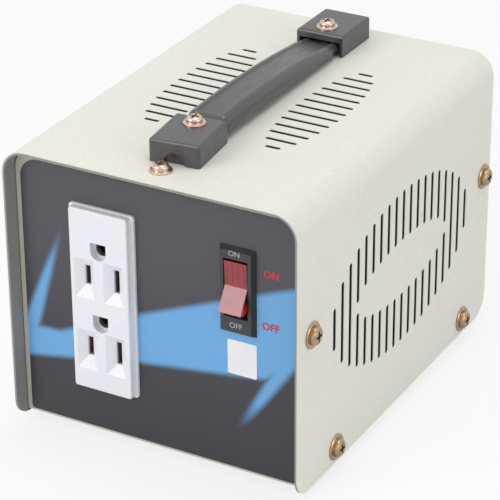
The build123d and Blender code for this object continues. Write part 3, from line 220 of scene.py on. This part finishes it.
class Finish:
    """A material with a Principled shader, and short calls for the nodes that drive it."""

    def __init__(self, name, colour, roughness, **sockets):
        self.material = bpy.data.materials.new(name)
        self.material.use_nodes = True
        self.tree = self.material.node_tree
        self.shader = self.tree.nodes["Principled BSDF"]
        self.set(**{"Base Color": colour, "Roughness": roughness})
        self.set(**sockets)
        self.place = self.tree.nodes.new("ShaderNodeTexCoord").outputs["Object"]

    def set(self, **sockets):
        for name, value in sockets.items():
            self.shader.inputs[name.replace("_", " ")].default_value = value

    def join(self, socket, value):
        if isinstance(value, bpy.types.NodeSocket):
            self.tree.links.new(value, socket)
        else:
            socket.default_value = value

    def drive(self, name, value):
        self.join(self.shader.inputs[name], value)

    def calc(self, operation, *values, clamp=False):
        node = self.tree.nodes.new("ShaderNodeMath")
        node.operation = operation
        node.use_clamp = clamp
        for socket, value in zip(node.inputs, values):
            self.join(socket, value)
        return node.outputs[0]

    def product(self, first, second):
        return self.calc("MULTIPLY", first, second)

    def scaled(self, stretch):
        """The object's own coordinates, stretched by a factor along each axis."""
        node = self.tree.nodes.new("ShaderNodeVectorMath")
        node.operation = "MULTIPLY"
        self.join(node.inputs[0], self.place)
        node.inputs[1].default_value = stretch
        return node.outputs[0]

    def along(self, direction):
        """Distance along a direction, in metres."""
        node = self.tree.nodes.new("ShaderNodeVectorMath")
        node.operation = "DOT_PRODUCT"
        self.join(node.inputs[0], self.place)
        node.inputs[1].default_value = direction
        return node.outputs["Value"]

    def noise(self, size, detail=2.0, rough=0.5, stretch=(1.0, 1.0, 1.0)):
        """Noise whose patches are about that size."""
        node = self.tree.nodes.new("ShaderNodeTexNoise")
        node.inputs["Scale"].default_value = 1 / size
        node.inputs["Detail"].default_value = detail
        node.inputs["Roughness"].default_value = rough
        self.join(node.inputs["Vector"], self.scaled(stretch))
        return node.outputs["Fac"]

    def patches(self, size, cut=noise_cut, start=0.0, end=1.0, **noise):
        """Noise spread to run from one value to another."""
        return self.ramp(self.noise(size, **noise), *cut, start, end)

    def cells(self, size):
        """Distance from the middles of soft cells of about that size."""
        node = self.tree.nodes.new("ShaderNodeTexVoronoi")
        node.feature = "SMOOTH_F1"
        node.inputs["Scale"].default_value = 1 / size
        node.inputs["Smoothness"].default_value = cell_softness
        self.join(node.inputs["Vector"], self.place)
        return node.outputs["Distance"]

    def waves(self, direction, pitch, blur=0.0):
        """A wave from 0 to 1 along a direction, one crest each pitch."""
        turn = self.product(self.along(direction), 2 * math.pi / pitch)
        if blur:
            turn = self.calc("ADD", turn, self.product(self.noise(4 * pitch), blur))
        return self.calc("MULTIPLY_ADD", self.calc("SINE", turn), 0.5, 0.5)

    def ramp(self, value, low, high, start=0.0, end=1.0):
        """A smooth step from one value to another as the input goes from low to high."""
        node = self.tree.nodes.new("ShaderNodeMapRange")
        node.interpolation_type = "SMOOTHSTEP"
        for name, amount in zip(("Value", "From Min", "From Max", "To Min", "To Max"),
                                (value, low, high, start, end)):
            self.join(node.inputs[name], amount)
        return node.outputs["Result"]

    def mix(self, factor, first, second):
        node = self.tree.nodes.new("ShaderNodeMix")
        node.data_type = "RGBA"
        for name, value in (("Factor_Float", factor), ("A_Color", first), ("B_Color", second)):
            self.join(next(s for s in node.inputs if s.identifier == name), value)
        return next(s for s in node.outputs if s.identifier == "Result_Color")

    def laid(self, base, mask, colour, strength):
        """The base with a colour laid over it, at that strength where the mask is 1."""
        return self.mix(self.product(mask, strength), base, colour)

    def edge(self, radius):
        """1 on edges, fading to 0 about a radius away from them."""
        bevel = self.tree.nodes.new("ShaderNodeBevel")
        bevel.samples = bevel_samples
        bevel.inputs["Radius"].default_value = radius
        true = self.tree.nodes.new("ShaderNodeNewGeometry").outputs["True Normal"]
        dot = self.tree.nodes.new("ShaderNodeVectorMath")
        dot.operation = "DOT_PRODUCT"
        self.join(dot.inputs[0], bevel.outputs["Normal"])
        self.join(dot.inputs[1], true)
        return self.ramp(dot.outputs["Value"], edge_start, edge_full)

    def relief(self, height, depth, rounded=None):
        """Bump of a height from 0 to 1, over edges that are rounded by a small radius."""
        bump = self.tree.nodes.new("ShaderNodeBump")
        bump.inputs["Distance"].default_value = depth
        self.join(bump.inputs["Height"], height)
        if rounded:
            bevel = self.tree.nodes.new("ShaderNodeBevel")
            bevel.samples = bevel_samples
            bevel.inputs["Radius"].default_value = rounded
            self.join(bump.inputs["Normal"], bevel.outputs["Normal"])
        self.drive("Normal", bump.outputs["Normal"])


def painted(name, colour, roughness, overhang=None, inside=None):
    """Textured powder paint: fine soft pebbles, faint mottling and slightly worn edges.
    The inner side is painted dark as shade behind the panel, where it shows in the vents, and a paler grey
    on the overhang in front of the panel."""
    paint = Finish(name, colour, roughness, Specular_IOR_Level=0.4)
    fine = paint.noise(paint_grain / 2, detail=3.0)
    height = paint.calc("ADD", paint.cells(paint_grain), paint.product(fine, 0.6))
    mottle = paint.patches(0.8 * paint_grain, cut=(0.35, 0.7), rough=0.6)
    broad = paint.patches(40 * mm)
    worn = paint.product(paint.edge(paint_wear_reach), paint.patches(3 * mm, cut=(0.45, 0.7), detail=4.0))
    base = paint.mix(mottle, tone(colour, 0.96), tone(colour, 1.02))
    base = paint.laid(base, broad, tone(colour, 0.97), strength=0.35)
    base = paint.laid(base, worn, tone(colour, 0.72), strength=0.35)
    if inside:
        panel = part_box("chassis")[0].y
        behind = paint.ramp(paint.along(y_axis), panel, panel + overhang_fade)
        # Painted shade: dark on the inner side behind the panel and in the vents, a paler grey on the
        # overhang in front
        base = paint.mix(inner_side(paint), base, paint.mix(behind, overhang, inside))
    paint.drive("Base Color", base)
    paint.drive("Roughness", paint.ramp(mottle, 0.0, 1.0, start=roughness + 0.1, end=roughness - 0.06))
    paint.relief(height, paint_depth, edge_round)
    return paint.material


def inner_side(paint):
    """1 on the cover's inner side and inside its vents, which take the painted shade; 0 on its outer side.
    """
    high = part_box("cover")[1]
    flat_x, flat_z = high.x - cover_bend, high.z - cover_bend
    across = paint.calc("SUBTRACT", paint.calc("ABSOLUTE", paint.along(x_axis)), flat_x)
    above = paint.calc("SUBTRACT", paint.along(z_axis), flat_z)
    flat = paint.calc("MINIMUM", paint.calc("MAXIMUM", across, above), 0.0)
    side = paint.calc("POWER", paint.calc("MAXIMUM", across, 0.0), 2.0)
    rise = paint.calc("POWER", paint.calc("MAXIMUM", above, 0.0), 2.0)
    round_part = paint.calc("SQRT", paint.calc("ADD", side, rise))
    depth = paint.calc("SUBTRACT", cover_bend, paint.calc("ADD", flat, round_part))
    return paint.ramp(depth, cover_inside_start, cover_inside_end)


def cover_paint():
    return painted(
        "cover_powder_paint", hue("cover_cream"), roughness=0.46,
        # the inside colour is painted shade for the vents
        overhang=hue("cover_overhang"), inside=hue("cover_inside_shade"),
    )


def chassis_paint():
    return painted("chassis_paint", hue("chassis_grey"), roughness=0.5)


def convex_distance(film, corners):
    """Signed distance to a convex outline in x and z, less than zero inside."""
    middle = sum((Vector(c) for c in corners), Vector((0, 0))) / len(corners)
    result = None
    for first, second in zip(corners, corners[1:] + corners[:1]):
        side = Vector(second) - Vector(first)
        normal = Vector((side.y, -side.x)).normalized()
        if (Vector(first) - middle).dot(normal) < 0:
            normal.negate()
        reach = Vector(first).dot(normal) * mm
        distance = film.calc("SUBTRACT", film.along((normal.x, 0, normal.y)), reach)
        result = distance if result is None else film.calc("MAXIMUM", result, distance)
    return result


def flash_mask(film):
    """1 on the lightning flash, with soft sides and points that fade out."""
    flash = None
    for corners in flash_pieces.values():
        distance = convex_distance(film, corners)
        flash = distance if flash is None else film.calc("MINIMUM", flash, distance)
    inside = film.ramp(flash, flash_blur, -flash_blur)
    height = film.along(z_axis)
    left = film.calc("LESS_THAN", film.along(x_axis), 0.0)
    low, high = (limit * mm for limit in flash_left_fade)
    fade_left = film.ramp(height, low, high, start=1.0, end=0.0)
    low, high = (limit * mm for limit in flash_right_fade)
    fade_right = film.ramp(height, low, high)
    right = film.calc("SUBTRACT", 1.0, left)
    fade = film.calc("ADD", film.product(left, fade_left), film.product(right, fade_right))
    return film.product(inside, fade)


def overlay():
    """Satin film, charcoal, with a soft-edged blue lightning flash across it; the charcoal is painted darker
    towards the bottom and lighter towards the top, a painted reflection.
    """
    charcoal = hue("charcoal")
    film = Finish("overlay_film", charcoal, roughness=0.34, Specular_IOR_Level=0.45)
    low, high = (limit * mm for limit in charcoal_reflection_fade)
    # Painted reflection: the charcoal darker towards the bottom, lighter towards the top
    ground = film.mix(film.ramp(film.along(z_axis), low, high), hue("charcoal_bottom_shade"), charcoal)
    printed = film.mix(flash_mask(film), ground, hue("flash_blue"))
    tint = film.tree.nodes.new("ShaderNodeVectorMath")
    tint.operation = "SCALE"
    film.join(tint.inputs[0], printed)
    film.join(tint.inputs["Scale"], film.patches(0.35 * mm, start=0.97, end=1.03))
    film.drive("Base Color", tint.outputs[0])
    film.drive("Roughness", film.patches(9 * mm, detail=3.0, start=0.3, end=0.4))
    grain = film.noise(0.28 * mm)
    swell = film.noise(14 * mm, detail=1.0)
    film.relief(film.calc("ADD", film.product(grain, 0.12), swell), depth=0.05 * mm)
    return film.material


def moulded(name, colour, roughness, grain=0.25 * mm, depth=0.006 * mm, rounded=0.2 * mm,
            vary=0.05, shine=0.5):
    """Injection moulded plastic: fine grain, faint flow marks and edges painted paler as a highlight."""
    plastic = Finish(name, colour, roughness, Specular_IOR_Level=shine)
    flow = plastic.patches(12 * mm)
    base = plastic.mix(flow, tone(colour, 1 - vary), tone(colour, 1 + vary))
    # Painted highlight: every edge a little paler
    base = plastic.laid(base, plastic.edge(2 * rounded), tone(colour, 1.3), strength=0.3)
    plastic.drive("Base Color", base)
    uneven = plastic.patches(5 * mm, detail=4.0, start=roughness - 0.04, end=roughness + 0.06)
    plastic.drive("Roughness", uneven)
    plastic.relief(plastic.noise(grain, detail=3.0), depth, rounded)
    return plastic.material


def sticker():
    return moulded(
        "sticker_paper", hue("sticker_white"), roughness=0.42,
        grain=0.4 * mm, depth=0.01 * mm, rounded=0.05 * mm, vary=0.02,
    )


def white_plastic():
    """Glossy white moulding, with the depths of its slots and holes painted brown as shade."""
    colour = hue("outlet_white")
    plastic = Finish("outlet_white_plastic", colour, roughness=0.28, Specular_IOR_Level=0.5)
    low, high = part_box("outlet_face")
    middle, half = (low + high) / 2, (high - low) / 2
    # Painted shade: deep inside the slots and holes the white turns brown
    painted_slot_shade = plastic.ramp(plastic.along(y_axis), low.y + slot_shade_start, low.y + slot_shade_end)
    for direction, centre, reach in ((x_axis, middle.x, half.x), (z_axis, middle.z, half.z)):
        away = plastic.calc("ABSOLUTE", plastic.calc("SUBTRACT", plastic.along(direction), centre))
        painted_slot_shade = plastic.product(painted_slot_shade, plastic.calc("LESS_THAN", away, reach - slot_shade_margin))
    base = plastic.mix(plastic.patches(12 * mm), tone(colour, 0.992), tone(colour, 1.008))
    plastic.drive("Base Color", plastic.mix(painted_slot_shade, base, hue("slot_shade_brown")))
    plastic.drive("Roughness", plastic.patches(0.8 * mm, detail=3.0, start=0.26, end=0.31))
    plastic.relief(plastic.noise(0.3 * mm, detail=3.0), depth=0.003 * mm, rounded=0.3 * mm)
    return plastic.material


def housing_plastic():
    return moulded("outlet_housing_plastic", hue("housing_brown"), roughness=0.45)


def switch_black():
    return moulded(
        "switch_black_plastic", hue("switch_black"), roughness=0.36, grain=0.2 * mm, rounded=0.35 * mm,
    )


def handle_plastic():
    return moulded(
        "cap_satin_plastic", hue("cap_black"), roughness=0.32,
        grain=0.3 * mm, depth=0.008 * mm, rounded=0.45 * mm, vary=0.08, shine=1.0,
    )


def strap_plastic():
    """Soft vinyl: satin, with a fine leather-like grain and faint rub marks."""
    colour = hue("strap_grey")
    vinyl = Finish("strap_vinyl", colour, roughness=0.32, Specular_IOR_Level=0.9)
    flow = vinyl.patches(14 * mm, detail=3.0, stretch=(1.0, 0.3, 1.0))
    vinyl.drive("Base Color", vinyl.mix(flow, tone(colour, 0.9), tone(colour, 1.15)))
    rub = vinyl.patches(1.2 * mm, cut=(0.35, 0.7), detail=3.0, stretch=(1.0, 0.15, 1.0), start=0.27, end=0.4)
    vinyl.drive("Roughness", rub)
    grain = vinyl.calc("ADD", vinyl.cells(0.55 * mm), vinyl.product(vinyl.noise(3 * mm), 0.8))
    vinyl.relief(grain, depth=0.012 * mm)
    return vinyl.material


def rocker_red():
    """Clear red plastic, glossy: ribs show through its upper half, and its sides are painted deep red as
    shade, with a painted highlight of brighter red at the bottom."""
    red = Finish(
        "rocker_clear_red", hue("rocker_red"), roughness=0.2, Specular_IOR_Level=0.6,
        Coat_Weight=0.5, Coat_Roughness=0.12,
    )
    low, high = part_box("switch_rocker")
    middle = (low + high) / 2
    height = red.along(z_axis)
    base = red.mix(red.patches(4 * mm), hue("rocker_dark"), hue("rocker_light"))
    upper = red.ramp(height, middle.z, middle.z + rocker_rib_fade)
    ribs = red.ramp(red.waves(x_axis, rocker_rib_pitch), 0.45, 0.95)
    base = red.laid(base, red.product(ribs, upper), hue("rocker_rib"), strength=0.7)
    # Painted shade on the sides, with a painted highlight near their bottom
    across = red.calc("ABSOLUTE", red.calc("SUBTRACT", red.along(x_axis), middle.x))
    flank = red.ramp(across, rocker_flank_start, rocker_flank_end)
    above_spot = red.ramp(height, low.z + rocker_spot_end, low.z + rocker_spot_start)
    side = red.mix(above_spot, hue("rocker_spot_highlight"), hue("rocker_flank_shade"))
    red.drive("Base Color", red.mix(flank, base, side))
    red.drive("Roughness", red.patches(1.5 * mm, detail=3.0, start=0.16, end=0.26))
    red.relief(red.noise(0.5 * mm), depth=0.004 * mm, rounded=0.25 * mm)
    return red.material


def metal(name, colour, roughness, grain=0.5 * mm, brushed=(1.0, 1.0, 1.0)):
    """Bare or plated metal: fine marks, soft tarnish and rubbed bright edges."""
    plate = Finish(name, colour, roughness, Metallic=1.0)
    tarnish = plate.patches(2.5 * mm, cut=(0.4, 0.75), detail=4.0, rough=0.6)
    base = plate.mix(tarnish, colour, tone(colour, 0.75))
    base = plate.laid(base, plate.edge(0.25 * mm), tone(colour, 1.35), strength=0.5)
    plate.drive("Base Color", base)
    marks = plate.noise(grain, detail=3.0, rough=0.6, stretch=brushed)
    plate.drive("Roughness", plate.ramp(marks, *noise_cut, start=roughness - 0.06, end=roughness + 0.1))
    plate.relief(marks, depth=0.006 * mm, rounded=0.15 * mm)
    return plate.material


def fastener():
    """Plated steel: rose on top of the cover, turning to blotchy brass on its sides."""
    plate = Finish("plated_steel_screws", hue("screw_rose"), roughness=0.22, Metallic=1.0)
    across = plate.calc("ABSOLUTE", plate.along(x_axis))
    sideways = plate.ramp(across, screw_rose_reach, screw_brass_reach)
    blotch = plate.patches(2.2 * mm, cut=(0.4, 0.6), detail=3.0)
    brass = plate.mix(blotch, hue("olive_brass"), hue("red_brass"))
    base = plate.mix(sideways, hue("top_screw_rose"), brass)
    stain = plate.patches(1.5 * mm, cut=(0.45, 0.8), detail=4.0, rough=0.6)
    plate.drive("Base Color", plate.laid(base, stain, hue("screw_stain"), strength=0.5))
    marks = plate.noise(0.4 * mm, detail=3.0, rough=0.6)
    plate.drive("Roughness", plate.ramp(marks, *noise_cut, start=0.16, end=0.3))
    plate.relief(marks, depth=0.006 * mm, rounded=0.15 * mm)
    return plate.material


def contact():
    return metal("contact_brass", hue("contact_brass"), roughness=0.3, grain=0.3 * mm)


def spring_steel():
    return metal(
        "spring_steel", hue("spring_steel"), roughness=0.32, grain=0.3 * mm, brushed=(1.0, 0.1, 1.0),
    )


def zinc_steel():
    return metal("zinc_plated_steel", hue("zinc"), roughness=0.35, grain=1.0 * mm)


def core_steel():
    """Stacked sheet steel: dark varnished edges, one line for each sheet."""
    core = Finish("laminated_steel", hue("core_steel"), roughness=0.5, Metallic=0.6)
    sheets = core.waves(y_axis, sheet_pitch, blur=0.4)
    rust = core.patches(6 * mm, cut=(0.5, 0.8), detail=4.0)
    base = core.mix(sheets, hue("sheet_dark"), hue("sheet_light"))
    core.drive("Base Color", core.laid(base, rust, hue("core_rust"), strength=0.4))
    core.drive("Roughness", core.ramp(rust, 0.0, 1.0, start=0.42, end=0.62))
    core.relief(sheets, depth=0.08 * mm, rounded=0.2 * mm)
    return core.material


def enamelled_wire():
    """Varnished copper wire, laid turn beside turn; each turn is painted lighter on its crest and darker in
    the groove, as highlight and shade.
    """
    wire = Finish("enamelled_copper", hue("wire_copper"), roughness=0.3, Metallic=0.5, Coat_Weight=0.4)
    turns = wire.waves(z_axis, wire_pitch, blur=0.5)
    # Painted highlight on each turn's crest and painted shade in the grooves between turns
    wire.drive("Base Color", wire.mix(turns, hue("wire_groove_shade"), hue("wire_crest_highlight")))
    wire.drive("Roughness", wire.patches(3 * mm, start=0.25, end=0.4))
    wire.relief(turns, depth=0.25 * mm)
    return wire.material


def insulation():
    """Pressed paper tape around a winding."""
    paper = Finish("insulating_paper", hue("paper"), roughness=0.7)
    fibres = paper.noise(0.6 * mm, detail=4.0, rough=0.6, stretch=(1.0, 1.0, 0.2))
    paper.drive("Base Color", paper.mix(fibres, hue("paper_dark"), hue("paper_light")))
    paper.drive("Roughness", paper.ramp(fibres, *noise_cut, start=0.6, end=0.8))
    paper.relief(fibres, depth=0.05 * mm, rounded=0.1 * mm)
    return paper.material


def bobbin_plastic():
    return moulded("bobbin_nylon", hue("bobbin_cream"), roughness=0.5)


def foot_rubber():
    """Matt black rubber with a fine dusty grain."""
    rubber = Finish("foot_rubber", hue("rubber"), roughness=0.75)
    dust = rubber.patches(2 * mm, cut=(0.45, 0.8), detail=5.0, rough=0.6)
    base = rubber.laid(hue("rubber_dark"), dust, hue("rubber_dust"), strength=0.4)
    rubber.drive("Base Color", base)
    rubber.drive("Roughness", rubber.ramp(dust, 0.0, 1.0, start=0.7, end=0.88))
    rubber.relief(rubber.noise(0.4 * mm, detail=3.0), depth=0.03 * mm, rounded=0.4 * mm)
    return rubber.material


def lamp_glass():
    """The neon lamp's glass, faintly wavy."""
    glass = Finish("lamp_glass", hue("lamp_orange"), roughness=0.1, Transmission_Weight=0.7, IOR=1.5)
    glass.drive("Roughness", glass.patches(1 * mm, start=0.06, end=0.16))
    glass.relief(glass.noise(1.5 * mm), depth=0.01 * mm, rounded=0.1 * mm)
    return glass.material


def glass_tube():
    """The fuse: a glass tube between two plated end caps."""
    tube = Finish("fuse_tube", hue("fuse_tube"), roughness=0.12, IOR=1.5)
    low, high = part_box("fuse")
    cap = (high.y - low.y) * fuse_cap_share
    near, far = low.y + cap, high.y - cap
    blur = fuse_cap_blur
    along = tube.along(y_axis)
    near_cap = tube.ramp(along, near - blur, near + blur, start=1.0, end=0.0)
    far_cap = tube.ramp(along, far - blur, far + blur)
    capped = tube.calc("ADD", near_cap, far_cap, clamp=True)
    tube.drive("Metallic", capped)
    tube.drive("Base Color", tube.mix(capped, hue("fuse_glass"), hue("fuse_cap")))
    tube.drive("Roughness", tube.ramp(capped, 0.0, 1.0, start=0.08, end=0.3))
    tube.relief(tube.noise(1 * mm), depth=0.01 * mm, rounded=0.2 * mm)
    return tube.material


finishes = {
    "cover_paint": cover_paint, "chassis_paint": chassis_paint, "overlay": overlay, "sticker": sticker,
    "fastener": fastener, "white_plastic": white_plastic, "housing_plastic": housing_plastic,
    "contact": contact, "switch_black": switch_black, "rocker_red": rocker_red,
    "lamp_glass": lamp_glass, "handle_plastic": handle_plastic, "strap_plastic": strap_plastic,
    "spring_steel": spring_steel, "foot_rubber": foot_rubber, "core_steel": core_steel,
    "bobbin_plastic": bobbin_plastic, "enamelled_wire": enamelled_wire, "insulation": insulation,
    "zinc_steel": zinc_steel, "glass_tube": glass_tube,
}
materials = {slot: make() for slot, make in finishes.items()}


def dress_nodes():
    """Every node gets the finish that the record names for it."""
    for part in frame["record"]["subparts"]:
        held = nodes[part["node"]].data.materials
        held.clear()
        held.append(materials[part["material_slot"]])


def smooth_between(low, high, value):
    """A smooth step from 0 to 1 as the value goes from low to high."""
    share = min(1.0, max(0.0, (value - low) / (high - low)))
    return share * share * (3 - 2 * share)


def arc_height(heights, share):
    """Height at a share of the way along a gentle arch through three heights."""
    start, middle, end = heights
    rest = 1 - share
    return start * rest * (rest - share) + 4 * middle * share * rest + end * share * (share - rest)


def strap_section(half, low, high, channel):
    """Outline of the strap in x and z: sloping sides, two raised ridges and a sunken middle."""
    points = []
    quarter = math.pi / 2
    lower = min(strap_lower_radius, strap_lower_radius_share * (high - low))
    drop = min(strap_slope_drop, strap_slope_share * (high - low))
    for step in range(corner_steps + 1):
        turn = quarter * step / corner_steps
        points.append((half - lower + lower * math.sin(turn), low + lower - lower * math.cos(turn)))
    for step in range(slope_steps + 1):
        turn = quarter * step / slope_steps
        side = strap_ridge + (half - strap_ridge) * math.cos(turn)
        points.append((side, high - drop + drop * math.sin(turn)))
    for step in range(1, corner_steps + 1):
        share = step / corner_steps
        sunk = channel * smooth_between(0.0, 1.0, share)
        points.append((strap_ridge + (strap_channel_half - strap_ridge) * share, high - sunk))
    points.append((strap_channel_half / 2, high - channel))
    points.append((0.0, high - channel))
    mirrored = [(-x, z) for x, z in reversed(points) if x > 0]
    return points + mirrored


def strap_rings(front_mouth, rear_mouth, cover_top):
    """Outlines of the strap from inside the front cap to inside the rear cap."""
    first, last = front_mouth - strap_inset, rear_mouth + strap_inset
    shoulder_start = front_mouth + strap_shoulder
    waist = strap_half_width - strap_neck_half_width
    rings = []
    for step in range(strap_steps + 1):
        share = step / strap_steps
        y = first + (last - first) * share
        shoulder = smooth_between(shoulder_start, shoulder_start + strap_step_length, y)
        taper = smooth_between(rear_mouth, rear_mouth - strap_taper, y)
        half = strap_neck_half_width + waist * min(shoulder, taper)
        roof = arc_height(strap_roof, share)
        roof = strap_neck_roof + (roof - strap_neck_roof) * shoulder
        low = arc_height(strap_underside, share)
        section = strap_section(half, cover_top + low, cover_top + roof, strap_channel_depth * shoulder)
        rings.append([(x, y, z) for x, z in section])
    return rings


def make_strap():
    """The strap as two meshes that meet in the middle, each running into its own cap."""
    cover_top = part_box("cover")[1].z
    front_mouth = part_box("handle_front_cap")[1].y
    rear_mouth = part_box("handle_rear_cap")[0].y
    rings = strap_rings(front_mouth, rear_mouth, cover_top)
    middle = strap_steps // 2
    front = loft("strap_front_half", rings[:middle + 1], cap_first=True)
    rear = loft("strap_rear_half", rings[middle:], cap_last=True)
    for piece in (front, rear):
        piece.data.materials.append(materials["strap_plastic"])
    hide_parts("strap_front_run", "strap_grip")
    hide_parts("strap_rear_run")
    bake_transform(front)
    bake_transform(rear)


def add_mesh(name, points, faces):
    mesh = bpy.data.meshes.new(name)
    mesh.from_pydata(points, [], faces)
    mesh.validate()
    mesh.polygons.foreach_set("use_smooth", [True] * len(mesh.polygons))
    mesh.set_sharp_from_angle(angle=sharp_angle)
    piece = bpy.data.objects.new(name, mesh)
    bpy.context.scene.collection.objects.link(piece)
    return piece


def loft(name, rings, cap_first=False, cap_last=False):
    """A skin over rings of points, closed at the ends that show."""
    around = len(rings[0])
    points = [p for ring in rings for p in ring]
    faces = []
    for row in range(len(rings) - 1):
        for step in range(around):
            a, b = row * around + step, row * around + (step + 1) % around
            faces.append((a, a + around, b + around, b))
    if cap_first:
        faces.append(tuple(range(around)))
    if cap_last:
        last = (len(rings) - 1) * around
        faces.append(tuple(reversed(range(last, last + around))))
    return add_mesh(name, points, faces)


def letter(name, words, height, centre, face_y, material, body, bold=0.0):
    """A word on the front, as a thin printed layer facing -Y."""
    curve = bpy.data.curves.new(name + "_text", "FONT")
    curve.body = words
    curve.size = height
    curve.offset = bold
    curve.extrude = lettering_thickness / 2
    maker = bpy.data.objects.new(name + "_text", curve)
    bpy.context.scene.collection.objects.link(maker)
    bpy.context.view_layer.update()
    mesh = bpy.data.meshes.new_from_object(maker.evaluated_get(bpy.context.evaluated_depsgraph_get()))
    bpy.data.objects.remove(maker)
    tall = [v.co.y for v in mesh.vertices]
    wide = [v.co.x for v in mesh.vertices]
    size = height / (max(tall) - min(tall))
    mesh.transform(Matrix.Translation((-(max(wide) + min(wide)) / 2, -(max(tall) + min(tall)) / 2, 0)))
    mesh.transform(Matrix.Diagonal((size, size, 1, 1)))
    place = Matrix.Translation((centre[0], face_y - lettering_thickness / 2, centre[1]))
    mesh.transform(place @ Matrix.Rotation(math.pi / 2, 4, "X"))
    mesh.name = name
    mesh.materials.clear()
    mesh.materials.append(material)
    piece = bpy.data.objects.new(name, mesh)
    bpy.context.scene.collection.objects.link(piece)
    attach(piece, body)


def ink(name):
    """Printed ink, slightly uneven."""
    colour = hue(name)
    print_ink = Finish(name, colour, roughness=0.4)
    patch = print_ink.noise(0.6 * mm, detail=3.0)
    print_ink.drive("Base Color", print_ink.mix(patch, tone(colour, 0.9), tone(colour, 1.1)))
    print_ink.drive("Roughness", print_ink.ramp(patch, *noise_cut, start=0.35, end=0.5))
    print_ink.relief(patch, depth=0.01 * mm)
    return print_ink.material


def make_lettering():
    """ON and OFF above and below the rocker and beside it, grey on the bezel, red on the overlay."""
    bezel_low, bezel_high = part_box("switch_frame")
    bezel_middle = (bezel_low + bezel_high) / 2
    overlay_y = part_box("front_label")[0].y
    grey, red = ink("grey_ink"), ink("red_ink")
    for group, height, face_y, material, bold in (
        (bezel_words, bezel_letter_height, bezel_low.y, grey, 0.0),
        (overlay_words, label_letter_height, overlay_y, red, label_letter_bold),
    ):
        for name, (word, (across, above)) in group.items():
            centre = (bezel_middle.x + across * mm, bezel_middle.z + above * mm)
            letter(name, word, height, centre, face_y, material, "case", bold)


def make_camera():
    data = bpy.data.cameras.new("camera")
    data.lens = camera_lens
    data.sensor_width = camera_sensor
    data.clip_start = camera_near
    camera = bpy.data.objects.new("camera", data)
    camera.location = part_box("cover")[0] + Vector(camera_from_cover)
    camera.rotation_euler = [math.radians(a) for a in camera_turn_degrees]
    bpy.context.scene.collection.objects.link(camera)
    bpy.context.scene.camera = camera


def add_lamp(name, direction, size, power):
    """A soft square lamp that faces the object from a direction."""
    data = bpy.data.lights.new(name, "AREA")
    data.shape = "SQUARE"
    data.size = size
    data.energy = power
    lamp = bpy.data.objects.new(name, data)
    aim = (cad_low + cad_high) / 2
    ray = Vector(direction).normalized()
    lamp.location = aim + ray * lamp_distance
    lamp.rotation_euler = ray.to_track_quat("Z", "Y").to_euler()
    bpy.context.scene.collection.objects.link(lamp)


def make_light():
    """Even daylight from all round, with a soft key, a top light and a side light.
    The camera, reflections and clear parts see a brighter white than the light that falls."""
    world = bpy.data.worlds.new("studio")
    bpy.context.scene.world = world
    world.use_nodes = True
    tree = world.node_tree
    background = tree.nodes["Background"]
    background.inputs["Color"].default_value = (1, 1, 1, 1)
    path = tree.nodes.new("ShaderNodeLightPath")
    bright = path.outputs["Is Camera Ray"]
    for ray in ("Is Glossy Ray", "Is Transmission Ray"):
        node = tree.nodes.new("ShaderNodeMath")
        node.operation = "MAXIMUM"
        tree.links.new(bright, node.inputs[0])
        tree.links.new(path.outputs[ray], node.inputs[1])
        bright = node.outputs[0]
    level = tree.nodes.new("ShaderNodeMapRange")
    tree.links.new(bright, level.inputs["Value"])
    level.inputs["To Min"].default_value = world_strength
    level.inputs["To Max"].default_value = white_strength
    tree.links.new(level.outputs["Result"], background.inputs["Strength"])
    add_lamp("key", key_direction, softbox_size, key_power)
    add_lamp("top", top_direction, softbox_size, top_power)
    add_lamp("side", side_direction, softbox_size, side_power)


def make_floor():
    """A pale studio floor that fades towards white for the camera."""
    half = floor_half
    corners = [(-half, -half, 0), (half, -half, 0), (half, half, 0), (-half, half, 0)]
    floor = add_mesh("floor", corners, [(0, 1, 2, 3)])
    material = bpy.data.materials.new("pale_floor")
    material.use_nodes = True
    tree = material.node_tree
    shader = tree.nodes["Principled BSDF"]
    shader.inputs["Base Color"].default_value = floor_grey
    shader.inputs["Roughness"].default_value = floor_roughness
    glow = tree.nodes.new("ShaderNodeEmission")
    path = tree.nodes.new("ShaderNodeLightPath")
    share = tree.nodes.new("ShaderNodeMath")
    share.operation = "MULTIPLY"
    share.inputs[1].default_value = floor_glow
    mix = tree.nodes.new("ShaderNodeMixShader")
    tree.links.new(path.outputs["Is Camera Ray"], share.inputs[0])
    tree.links.new(share.outputs[0], mix.inputs[0])
    tree.links.new(shader.outputs[0], mix.inputs[1])
    tree.links.new(glow.outputs[0], mix.inputs[2])
    tree.links.new(mix.outputs[0], tree.nodes["Material Output"].inputs["Surface"])
    floor.data.materials.append(material)


dress_nodes()
make_strap()
make_lettering()
make_camera()
make_light()
make_floor()
bpy.context.scene.view_settings.view_transform = "Standard"
